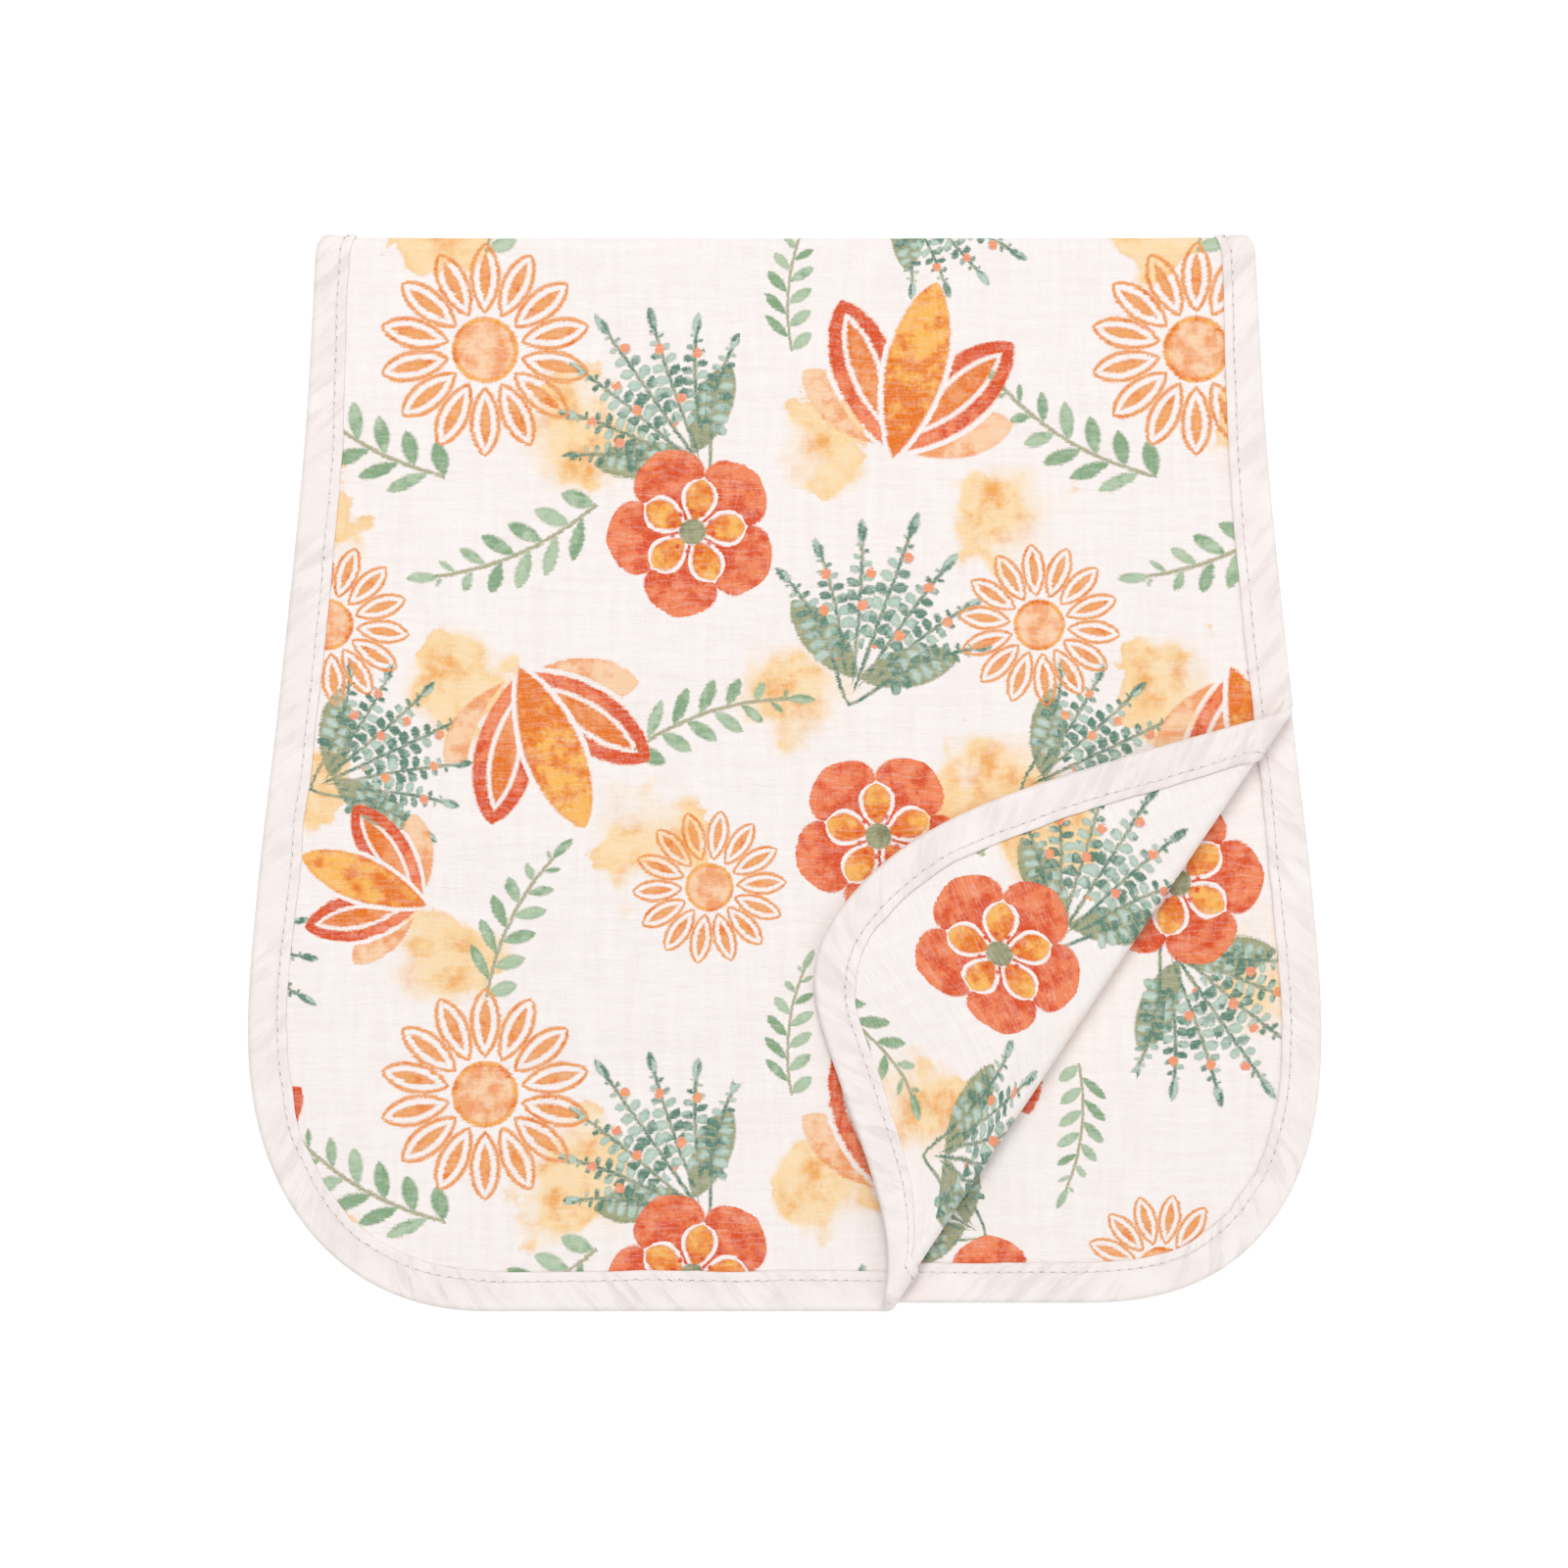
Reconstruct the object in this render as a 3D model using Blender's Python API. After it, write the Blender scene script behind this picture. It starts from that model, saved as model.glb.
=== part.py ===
"""A burp cloth of printed muslin, bound all round, folded in half with one corner turned up.

Metres, +Z up. The cloth lies on a surface at Z = 0, with its fold towards +Y and its open
ends towards -Y. Each piece is first cut flat, then scored along the lines that it bends on,
and then folded by one rule, so the binding stays round the edge of the muslin.

Flat coordinates: across (the width), along (the length, 0 on the fold, plus for the half
that comes to lie on top) and rise (the height over the middle of the cloth's thickness).
"""

import math
from typing import NamedTuple

import bmesh
import bpy
import numpy as np
from mathutils import Vector

# Driving sizes of the cloth.
FOLDED_LENGTH = 0.2547
LOBE_WIDTH = 0.2540
END_STRAIGHT = 0.1400
BACK_SHORTER = 0.0016
BINDING_WIDTH = 0.0100

# Thicknesses.
MUSLIN = 0.0014
TAPE = 0.0006
CLEARANCE = 0.0003
HALF_MUSLIN = MUSLIN / 2
HALF_BOUND = HALF_MUSLIN + CLEARANCE + TAPE
TAPE_SHOULDER = 0.72 * HALF_BOUND
TAPE_ROUNDING = 0.3 * TAPE

# The fold across the middle and the crease of the turned corner, at mid thickness.
FOLD_RADIUS = 0.0019
CREASE_RADIUS = 0.0022

# Where the turned corner's crease shows, at the side edge and at the open end (X, Y).
CREASE_AT_SIDE = Vector((0.1198, 0.0159))
CREASE_AT_END = Vector((0.0244, -0.1268))

# How far the muslin settles inside its thicker binding, and over what distance.
SETTLE_BACK = HALF_BOUND - HALF_MUSLIN
SETTLE_FRONT = 0.0019
SETTLE_FROM = 0.0105
SETTLE_OVER = 0.0350

# The turned corner's height over the layer below it, clear of the crease and the binding.
CORNER_REST = 0.0029

# The ruck at the open end of the turned corner.
RUCK_SHIFT = 0.0095
RUCK_REACH = 0.0110
RUCK_WAY = Vector((0.92, 0.39))
RUCK_TOP = -0.034
RUCK_FADE = 0.046
RUCK_HEIGHT = 0.0030
RUCK_RISE = 0.018
RUCK_FALL = 0.034

# Fineness of the scoring.
PITCH_ALONG = 0.0125
PITCH_ACROSS = 0.0140
FOLD_STEPS = 10
CREASE_STEPS = 8
CORNER_STEPS = 9
RUCK_SCORES = (0.005, 0.010, 0.015, 0.021, 0.028, 0.036)
SLOPE_STEP = 0.001
SNAP = 1e-6
SHARP_FROM = math.radians(50)

# Each rounded corner's outline is a superellipse. The one that shows beyond the crease is squarer.
CORNER_POWER = 2.2
SQUARER_POWER = 2.42


class SideRow(NamedTuple):
    """One place on the long side: its distance from the fold, and the half width there."""

    along: float
    half_width: float


SIDE = (
    SideRow(0.000, 0.1108),
    SideRow(0.050, 0.1137),
    SideRow(0.110, 0.1197),
    SideRow(0.155, 0.1248),
    SideRow(0.188, LOBE_WIDTH / 2),
)


class Wave(NamedTuple):
    """One slow wave in the upper layer: its height, its length and the way it runs."""

    height: float
    length: float
    way: float


WAVES = (
    Wave(0.00022, 0.083, math.radians(24)),
    Wave(0.00018, 0.117, math.radians(103)),
    Wave(0.00012, 0.061, math.radians(-38)),
)


class Station(NamedTuple):
    """One place on the cut edge of the flat cloth, with the way out from it."""

    place: Vector
    outward: Vector


QUARTER_TURN = math.pi / 2
HALF_ARC = FOLD_RADIUS * QUARTER_TURN
FOLD_Y = FOLDED_LENGTH / 2 - FOLD_RADIUS - HALF_BOUND
FOLD_Z = HALF_BOUND + FOLD_RADIUS
FRONT_LENGTH = FOLD_Y + FOLDED_LENGTH / 2 + HALF_ARC
BACK_LENGTH = FRONT_LENGTH - BACK_SHORTER

CREASE_WAY = (CREASE_AT_SIDE - CREASE_AT_END).normalized()
CREASE_OUT = Vector((CREASE_WAY.y, -CREASE_WAY.x))
CREASE_START = CREASE_OUT.dot(CREASE_AT_SIDE) - CREASE_RADIUS - HALF_MUSLIN
CREASE_ARC = math.pi * CREASE_RADIUS


def smooth(share):
    """An even S-shaped step from 0 to 1."""
    share = min(max(share, 0.0), 1.0)
    return share * share * (3 - 2 * share)


def side_slopes():
    """The side's slope at each row: level at the lobe, even between its neighbours."""
    slopes = []
    for index, row in enumerate(SIDE):
        before = SIDE[max(index - 1, 0)]
        after = SIDE[min(index + 1, len(SIDE) - 1)]
        slopes.append((after.half_width - before.half_width) / (after.along - before.along))
    slopes[-1] = 0.0
    return slopes


SIDE_SLOPES = side_slopes()


def half_width(along):
    """The half width of the flat cloth at a distance from the fold, up to the corner."""
    for index in range(len(SIDE) - 1):
        low, high = SIDE[index], SIDE[index + 1]
        if along <= high.along:
            break
    reach = high.along - low.along
    t = (along - low.along) / reach
    return (
        low.half_width * (1 - t) ** 2 * (1 + 2 * t)
        + high.half_width * t * t * (3 - 2 * t)
        + reach * (SIDE_SLOPES[index] * t * (1 - t) ** 2 - SIDE_SLOPES[index + 1] * t * t * (1 - t))
    )


def quarter_outline(length, power):
    """The cut edge of one quarter, from the fold round the corner to the middle of the end."""
    corner_at = SIDE[-1].along
    stations = []
    steps = round(corner_at / PITCH_ALONG)
    for step in range(steps):
        along = corner_at * step / steps
        before, after = max(along - SLOPE_STEP, 0.0), along + SLOPE_STEP
        slope = (half_width(after) - half_width(before)) / (after - before)
        stations.append(Station(Vector((half_width(along), along)), Vector((1, -slope)).normalized()))
    wide = (LOBE_WIDTH - END_STRAIGHT) / 2
    deep = length - corner_at
    for step in range(CORNER_STEPS + 1):
        angle = QUARTER_TURN * step / CORNER_STEPS
        over = max(math.cos(angle), 0.0) ** (2 / power)
        down = max(math.sin(angle), 0.0) ** (2 / power)
        place = Vector((END_STRAIGHT / 2 + wide * over, corner_at + deep * down))
        outward = Vector((over ** (power - 1) / wide, down ** (power - 1) / deep))
        stations.append(Station(place, outward.normalized()))
    steps = round(END_STRAIGHT / 2 / PITCH_ACROSS)
    for step in range(1, steps + 1):
        across = END_STRAIGHT / 2 * (1 - step / steps)
        stations.append(Station(Vector((across, length)), Vector((0, 1))))
    return stations


def turned_over(stations, across, along):
    """A quarter's stations mirrored, each sign being 1 or -1."""
    flip = Vector((across, along))
    return [Station(s.place * flip, s.outward * flip) for s in stations]


def whole_outline():
    """The cut edge of the flat cloth, once round, with no place given twice."""
    front = quarter_outline(FRONT_LENGTH, CORNER_POWER)
    back = quarter_outline(BACK_LENGTH, CORNER_POWER)
    back_right = quarter_outline(BACK_LENGTH, SQUARER_POWER)
    return (
        front
        + turned_over(front, -1, 1)[-2::-1]
        + turned_over(back, -1, -1)[1:]
        + turned_over(back_right, 1, -1)[-2:0:-1]
    )


OUTLINE = whole_outline()
EDGE_FROM = np.array([tuple(s.place) for s in OUTLINE])
EDGE_RUN = np.roll(EDGE_FROM, -1, axis=0) - EDGE_FROM
EDGE_SQUARED = (EDGE_RUN**2).sum(axis=1)


def from_edge(across, along):
    """The distance from a place on the flat cloth to its cut edge."""
    to_place = np.array((across, along)) - EDGE_FROM
    share = np.clip((to_place * EDGE_RUN).sum(axis=1) / EDGE_SQUARED, 0, 1)
    return float(np.sqrt(((to_place - EDGE_RUN * share[:, None]) ** 2).sum(axis=1)).min())


def inside(across, along):
    """0 under the binding, rising to 1 well inside the cloth."""
    return smooth((from_edge(across, along) - SETTLE_FROM) / SETTLE_OVER)


def unevenness(x, y):
    """The slow waves of the upper layer."""
    height = 0.0
    for wave in WAVES:
        run = x * math.cos(wave.way) + y * math.sin(wave.way)
        height += wave.height * math.sin(2 * math.pi * run / wave.length)
    return height


def front_drop(x, y):
    """How far the upper layer's middle lies below its binding's, at a place seen from above."""
    along = FOLD_Y - y + HALF_ARC
    return (SETTLE_FRONT - unevenness(x, y)) * inside(x, along)


def turned_corner(place, rise, beyond):
    """The place and height of a point that the crease turns up and over, over the layer below."""
    foot = place - CREASE_OUT * beyond
    angle = min(beyond, CREASE_ARC) / CREASE_RADIUS
    past = max(beyond - CREASE_ARC, 0.0)
    bent = CREASE_RADIUS - rise
    out = bent * math.sin(angle) - past
    lift = CREASE_RADIUS - bent * math.cos(angle)
    lying = foot + CREASE_OUT * out
    pushed = smooth((RUCK_TOP - lying.y) / RUCK_FADE)
    lying += RUCK_WAY * (RUCK_SHIFT * pushed * (1 - math.exp(-past / RUCK_REACH)))
    over_binding = 1 - inside(lying.x, FOLD_Y - lying.y + HALF_ARC)
    near_crease = 1 - smooth(past / SETTLE_OVER)
    sunk = (2 * CREASE_RADIUS - CORNER_REST) * (1 - max(over_binding, near_crease))
    ruck = smooth(past / RUCK_RISE) * (1 - smooth((past - RUCK_RISE) / RUCK_FALL))
    return lying, lift - sunk + RUCK_HEIGHT * pushed * ruck


def fold(flat):
    """Where a point of the flat cloth lies once the cloth is folded."""
    across, along, rise = flat
    angle = max(-QUARTER_TURN, min(QUARTER_TURN, along / FOLD_RADIUS))
    bent = FOLD_RADIUS + rise
    place = Vector((across, FOLD_Y + bent * math.cos(angle) - max(abs(along) - HALF_ARC, 0.0)))
    if along <= HALF_ARC:
        back = SETTLE_BACK * inside(across, along)
        front = front_drop(across, FOLD_Y)
        on_top = (1 + math.sin(angle)) / 2
        return Vector((*place, FOLD_Z + bent * math.sin(angle) - back * (1 - on_top) - front * on_top))
    beyond = CREASE_OUT.dot(place) - CREASE_START
    lift = rise
    if beyond > 0:
        place, lift = turned_corner(place, rise, beyond)
    return Vector((*place, FOLD_Z + FOLD_RADIUS + lift - front_drop(place.x, place.y)))


def score(bm, at, way):
    """Cut the whole flat piece along one straight line."""
    bmesh.ops.bisect_plane(
        bm,
        geom=bm.verts[:] + bm.edges[:] + bm.faces[:],
        dist=SNAP,
        plane_co=(at.x, at.y, 0),
        plane_no=(way.x, way.y, 0),
    )


def score_lines():
    """Every line that the flat cloth bends on, as a place and the way across the line."""
    lengthwise = Vector((0, 1))
    crosswise = Vector((1, 0))
    for step in range(FOLD_STEPS + 1):
        yield Vector((0, HALF_ARC * (2 * step / FOLD_STEPS - 1))), lengthwise
    corner_at = SIDE[-1].along
    pitch = corner_at / round(corner_at / PITCH_ALONG)
    for step in range(1, math.ceil(FRONT_LENGTH / pitch)):
        yield Vector((0, pitch * step)), lengthwise
        yield Vector((0, -pitch * step)), lengthwise
    pitch = END_STRAIGHT / 2 / round(END_STRAIGHT / 2 / PITCH_ACROSS)
    steps = math.floor(SIDE[0].half_width / pitch)
    for step in range(-steps, steps + 1):
        yield Vector((pitch * step, 0)), crosswise
    # On the flat cloth the crease runs the other way up, because along is minus Y.
    flat_out = Vector((CREASE_OUT.x, -CREASE_OUT.y))
    origin = Vector((0, FOLD_Y + HALF_ARC))
    turned = [CREASE_ARC * step / CREASE_STEPS for step in range(CREASE_STEPS + 1)]
    for beyond in turned + [CREASE_ARC + past for past in RUCK_SCORES]:
        yield origin + flat_out * (CREASE_START + beyond), flat_out


def ring(bm, inset, rise):
    """A closed row of points round the flat cloth, a distance in from its cut edge."""
    return [bm.verts.new((*(s.place - s.outward * inset), rise)) for s in OUTLINE]


def skin(bm, first, second):
    """Faces between two rings."""
    for index in range(len(first)):
        after = (index + 1) % len(first)
        bm.faces.new((first[index], first[after], second[after], second[index]))


def flat_panel(bm):
    """The muslin: one sheet up to the inside of the binding's edge."""
    edge = TAPE + CLEARANCE
    upper, lower = ring(bm, edge, HALF_MUSLIN), ring(bm, edge, -HALF_MUSLIN)
    upper_in = ring(bm, BINDING_WIDTH, HALF_MUSLIN)
    lower_in = ring(bm, BINDING_WIDTH, -HALF_MUSLIN)
    skin(bm, upper_in, upper)
    skin(bm, upper, lower)
    skin(bm, lower, lower_in)
    bm.faces.new(upper_in)
    bm.faces.new(lower_in)


def flat_binding(bm):
    """The bias tape: a C-shaped section carried once round the cut edge."""
    leg = HALF_BOUND - TAPE
    section = (
        (BINDING_WIDTH, HALF_BOUND),
        (TAPE + CLEARANCE, HALF_BOUND),
        (TAPE_ROUNDING, TAPE_SHOULDER),
        (0.0, 0.0),
        (TAPE_ROUNDING, -TAPE_SHOULDER),
        (TAPE + CLEARANCE, -HALF_BOUND),
        (BINDING_WIDTH, -HALF_BOUND),
        (BINDING_WIDTH, -leg),
        (TAPE, -leg),
        (TAPE, leg),
        (BINDING_WIDTH, leg),
    )
    rings = [ring(bm, inset, rise) for inset, rise in section]
    for index, row in enumerate(rings):
        skin(bm, row, rings[(index + 1) % len(rings)])


def finish(color, roughness, name):
    """A plain finish in the piece's colour."""
    material = bpy.data.materials.new(name)
    material.use_nodes = True
    shader = material.node_tree.nodes["Principled BSDF"]
    shader.inputs["Base Color"].default_value = (*color, 1)
    shader.inputs["Roughness"].default_value = roughness
    shader.inputs["Metallic"].default_value = 0.0
    return material


def cloth_piece(name, cut_flat, material):
    """Cut a piece flat, score it, fold it and add it to the scene."""
    bm = bmesh.new()
    cut_flat(bm)
    bmesh.ops.recalc_face_normals(bm, faces=bm.faces[:])
    for at, way in score_lines():
        score(bm, at, way)
    bmesh.ops.triangulate(bm, faces=bm.faces[:])
    for vert in bm.verts:
        vert.co = fold(vert.co)
    # Along runs against Y, so folding mirrors the flat piece and turns its faces round.
    bmesh.ops.reverse_faces(bm, faces=bm.faces[:])
    mesh = bpy.data.meshes.new(name)
    bm.to_mesh(mesh)
    bm.free()
    mesh.shade_smooth()
    mesh.set_sharp_from_angle(angle=SHARP_FROM)
    mesh.materials.append(material)
    piece = bpy.data.objects.new(name, mesh)
    bpy.context.scene.collection.objects.link(piece)
    return piece


def main():
    """Build the cloth's two pieces in an empty scene."""
    for old in list(bpy.data.objects):
        bpy.data.objects.remove(old, do_unlink=True)
    cloth_piece("muslin_panel", flat_panel, finish((0.90, 0.82, 0.77), 0.9, "printed_muslin"))
    cloth_piece("edge_binding", flat_binding, finish((0.91, 0.85, 0.82), 0.85, "binding_cotton"))


main()
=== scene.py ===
"""Looks of a burp cloth: printed muslin, bound all round, folded in half, one corner turned up.

Metres, +Z up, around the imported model. Every piece is laid out on the flat cloth first and
then folded by one rule, which is the rule that the solids were folded by. Flat coordinates
are across (the width), along (the length, 0 on the fold, plus for the half on top) and rise
(the height over the middle of the thickness, plus on the face that ends up outside).
"""

from __future__ import annotations

import itertools
import logging
import math
from dataclasses import dataclass, field, replace
from enum import IntEnum
from typing import Callable, NamedTuple, Sequence, Union

import bmesh
import bpy
import numpy as np
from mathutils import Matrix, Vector

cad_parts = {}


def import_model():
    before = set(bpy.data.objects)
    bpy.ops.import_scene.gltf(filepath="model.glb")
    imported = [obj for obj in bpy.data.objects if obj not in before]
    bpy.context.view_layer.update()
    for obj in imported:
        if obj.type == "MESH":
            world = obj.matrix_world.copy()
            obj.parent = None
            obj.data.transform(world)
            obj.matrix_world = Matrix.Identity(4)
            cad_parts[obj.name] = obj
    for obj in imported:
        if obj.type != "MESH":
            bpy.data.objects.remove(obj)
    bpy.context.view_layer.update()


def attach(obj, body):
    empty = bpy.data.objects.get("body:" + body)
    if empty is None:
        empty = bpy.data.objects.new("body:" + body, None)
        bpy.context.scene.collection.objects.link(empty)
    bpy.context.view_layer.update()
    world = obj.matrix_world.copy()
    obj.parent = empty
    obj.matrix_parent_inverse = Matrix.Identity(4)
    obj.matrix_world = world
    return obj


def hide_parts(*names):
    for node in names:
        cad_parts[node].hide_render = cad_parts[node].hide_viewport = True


LOG = logging.getLogger("burp_cloth")
QUARTER_TURN = math.pi / 2
MM = 0.001

Socket = bpy.types.NodeSocket
Color = tuple[float, float, float, float]
Ink = tuple[Color, Color]
Coat = tuple["Wire", "Wire"]
Value = Union["Wire", float, Sequence[float]]


def smooth(share: np.ndarray) -> np.ndarray:
    """An even S-shaped step from 0 to 1."""
    share = np.clip(share, 0.0, 1.0)
    return share * share * (3 - 2 * share)


def linear(*shown: float) -> Color:
    """A colour in linear light, with an alpha of 1.

    Args:
        *shown: Red, green and blue as a screen shows them, 0 to 255.

    Returns:
        The colour.
    """
    shares = [value / 255 for value in shown]
    low, high = 0.04045, 2.4
    parts = [s / 12.92 if s <= low else ((s + 0.055) / 1.055) ** high for s in shares]
    return (*parts, 1.0)


def ink(thin: Sequence[float], pooled: Sequence[float]) -> Ink:
    """A paint's two colours, given as a screen shows them."""
    return linear(*thin), linear(*pooled)


class Seed(IntEnum):
    """What seeds each random draw."""

    STITCHES = 5
    FINE_CRINKLE = 11
    BROAD_CRINKLE = 12
    PUCKER_PATCHES = 21
    PUCKER_LINES = 22
    FINE_PUCKERS = 24
    RIPPLE = 25
    WAVER = 31


class Unevenness:
    """Smooth random height over the flat cloth, the same on each run."""

    count = 512

    def __init__(self, seed: Seed, cell: tuple[float, float]) -> None:
        """Draw the lattice.

        Args:
            seed: Seeds the draw.
            cell: The size of a lattice cell, across and along, in metres.
        """
        self.cell = np.array(cell)
        self.values = np.random.default_rng(seed).uniform(-1, 1, (self.count, self.count))

    def at(self, across: np.ndarray, along: np.ndarray) -> np.ndarray:
        """The height at each place.

        Args:
            across: The places across the cloth.
            along: The places along the cloth.

        Returns:
            Heights from -1 to 1.
        """
        middle = (self.count + 1) / 2
        x, y = across / self.cell[0] + middle, along / self.cell[1] + middle
        col, row = np.floor(x).astype(int), np.floor(y).astype(int)
        right, up = smooth(x - col), smooth(y - row)
        low, high = (
            self.values[line % self.count, col % self.count] * (1 - right)
            + self.values[line % self.count, (col + 1) % self.count] * right
            for line in (row, row + 1)
        )
        return low * (1 - up) + high * up


class SideRow(NamedTuple):
    """One place on the long side: its distance from the fold, and the half width there."""

    along: float
    half_width: float


@dataclass(frozen=True)
class FlatCut:
    """The flat cloth: its outline and its thicknesses."""

    folded_length: float = 0.2547
    lobe_width: float = 0.2540
    end_straight: float = 0.1400
    back_shorter: float = 0.0016
    corner_power: float = 2.2
    squarer_power: float = 2.42
    binding_width: float = 0.0100
    muslin: float = 0.0014
    tape: float = 0.0006
    clearance: float = 0.0003
    fold_radius: float = 0.0019
    fold_nip: float = 0.0014
    fold_nip_reach: float = 0.0045
    waver: float = 0.045
    narrow_by_fold: float = 0.15
    narrow_reach: float = 0.075
    side: tuple[SideRow, ...] = (
        SideRow(0.000, 0.1108),
        SideRow(0.050, 0.1137),
        SideRow(0.110, 0.1197),
        SideRow(0.155, 0.1248),
        SideRow(0.188, 0.1270),
    )

    @property
    def half_muslin(self) -> float:
        """Half the muslin's thickness."""
        return self.muslin / 2

    @property
    def half_bound(self) -> float:
        """Half the thickness where the binding is."""
        return self.half_muslin + self.clearance + self.tape

    @property
    def half_arc(self) -> float:
        """The length of cloth on each side of the fold's middle that is bent."""
        return self.fold_radius * QUARTER_TURN

    @property
    def fold_y(self) -> float:
        """Where the fold's arc starts, along Y."""
        return self.folded_length / 2 - self.fold_radius - self.half_bound

    @property
    def front_length(self) -> float:
        """The flat length of the half on top."""
        return self.fold_y + self.folded_length / 2 + self.half_arc

    @property
    def back_length(self) -> float:
        """The flat length of the half underneath."""
        return self.front_length - self.back_shorter

    @property
    def corner_at(self) -> float:
        """Where the rounded corner starts, along the cloth."""
        return self.side[-1].along

    def side_at(self, along: np.ndarray) -> np.ndarray:
        """The half width between the fold and the corner.

        Args:
            along: Distances from the fold, none of them negative.

        Returns:
            The half widths there.
        """
        rows = np.array(self.side)
        slopes = np.empty(len(rows))
        slopes[1:-1] = (rows[2:, 1] - rows[:-2, 1]) / (rows[2:, 0] - rows[:-2, 0])
        slopes[0] = (rows[1, 1] - rows[0, 1]) / (rows[1, 0] - rows[0, 0])
        slopes[-1] = 0.0
        low = np.clip(np.searchsorted(rows[:, 0], along, side="right") - 1, 0, len(rows) - 2)
        reach = rows[low + 1, 0] - rows[low, 0]
        t = (along - rows[low, 0]) / reach
        eased = t * t * (3 - 2 * t)
        lean = slopes[low] * t * (1 - t) ** 2 - slopes[low + 1] * t * t * (1 - t)
        return rows[low, 1] * (1 - eased) + rows[low + 1, 1] * eased + reach * lean

    def drawn_in(self, along: np.ndarray) -> np.ndarray:
        """How far the fold's corners are rounded off.

        Args:
            along: Distances from the fold.

        Returns:
            The distances by which the edge lies further in.
        """
        return self.fold_nip * np.maximum(1 - along / self.fold_nip_reach, 0) ** 2

    @staticmethod
    def run_along(outline: np.ndarray) -> np.ndarray:
        """The way gone round the edge at each of its places, in metres."""
        steps = np.diff(outline[:, :2], axis=0, prepend=outline[:1, :2])
        return np.cumsum(np.linalg.norm(steps, axis=1))

    def bound_width(self, outline: np.ndarray) -> np.ndarray:
        """How wide the binding lies at each place round the edge.

        Args:
            outline: Places once round the edge.

        Returns:
            The widths there: less beside the fold, and wavering all round.
        """
        run = self.run_along(outline)
        uneven = Unevenness(Seed.WAVER, (0.011, 1.0)).at(run, run * 0)
        by_fold = 1 - smooth(np.abs(outline[:, 1]) / self.narrow_reach)
        share = 1 - self.waver + self.waver * uneven - self.narrow_by_fold * by_fold
        return self.binding_width * share

    def quarter(self, length: float, power: float, pitch: float, inset: float) -> np.ndarray:
        """One quarter's edge, from the fold round the corner to where the end is straight.

        Args:
            length: The flat length of this half.
            power: The corner's superellipse has this power.
            pitch: About how far apart the places are.
            inset: How far inside the cut edge the places lie.

        Returns:
            Across, along, and the outward way at each place, as rows of four.
        """
        along = np.linspace(0, self.corner_at, round(self.corner_at / pitch), endpoint=False)
        step = 0.0005
        slope = (self.side_at(along + step) - self.side_at(np.maximum(along - step, 0))) / (
            step + np.minimum(along, step)
        )
        out = np.stack([np.ones_like(slope), -slope], 1)
        out /= np.linalg.norm(out, axis=1, keepdims=True)
        side = np.column_stack([self.side_at(along), along, out])
        wide = (self.lobe_width - self.end_straight) / 2
        deep = length - self.corner_at
        angle = np.linspace(0, QUARTER_TURN, round((wide + deep) * 0.85 / pitch))
        over = np.maximum(np.cos(angle), 0) ** (2 / power)
        down = np.maximum(np.sin(angle), 0) ** (2 / power)
        out = np.stack([over ** (power - 1) / wide, down ** (power - 1) / deep], 1)
        out /= np.linalg.norm(out, axis=1, keepdims=True)
        corner = np.column_stack(
            [self.end_straight / 2 + wide * over, self.corner_at + deep * down, out]
        )
        edge = np.concatenate([side, corner])
        edge[:, :2] -= edge[:, 2:] * inset
        edge[:, 0] -= self.drawn_in(edge[:, 1])
        return edge

    def outline(self, pitch: float) -> np.ndarray:
        """The cut edge once round, from the fold on the right over the half on top.

        Args:
            pitch: About how far apart the places are.

        Returns:
            Across, along, and the outward way at each place, as rows of four.
        """
        quarters = []
        for length, power, sides in (
            (self.front_length, self.corner_power, (1, 1)),
            (self.front_length, self.corner_power, (-1, 1)),
            (self.back_length, self.corner_power, (-1, -1)),
            (self.back_length, self.squarer_power, (1, -1)),
        ):
            quarter = self.quarter(length, power, pitch, 0.0)
            across = np.linspace(quarter[-1, 0], 0, round(quarter[-1, 0] / pitch) + 1)[1:]
            end = np.column_stack([across, across * 0 + length, across * 0, across * 0 + 1])
            quarters.append(np.concatenate([quarter, end]) * (*sides, *sides))
        right, left, under_left, under_right = quarters
        return np.concatenate([right, left[-2::-1], under_left[1:], under_right[-2:0:-1]])

    def from_edge(self, across: np.ndarray, along: np.ndarray) -> np.ndarray:
        """The distance from each place to the cut edge.

        Args:
            across: The places across the cloth.
            along: The places along the cloth.

        Returns:
            The distances in metres.
        """
        start = self.outline(0.010)[:, :2]
        run = np.roll(start, -1, axis=0) - start
        squared = (run**2).sum(axis=1)
        nearest = np.full(across.shape, np.inf)
        for (x, y), (dx, dy), size in zip(start, run, squared):
            share = np.clip(((across - x) * dx + (along - y) * dy) / size, 0, 1)
            apart = (across - x - dx * share) ** 2 + (along - y - dy * share) ** 2
            np.minimum(nearest, apart, out=nearest)
        return np.sqrt(nearest)


class Wave(NamedTuple):
    """One slow wave in the upper layer: its height, its length and the way it runs."""

    height: float
    length: float
    way: float


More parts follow.
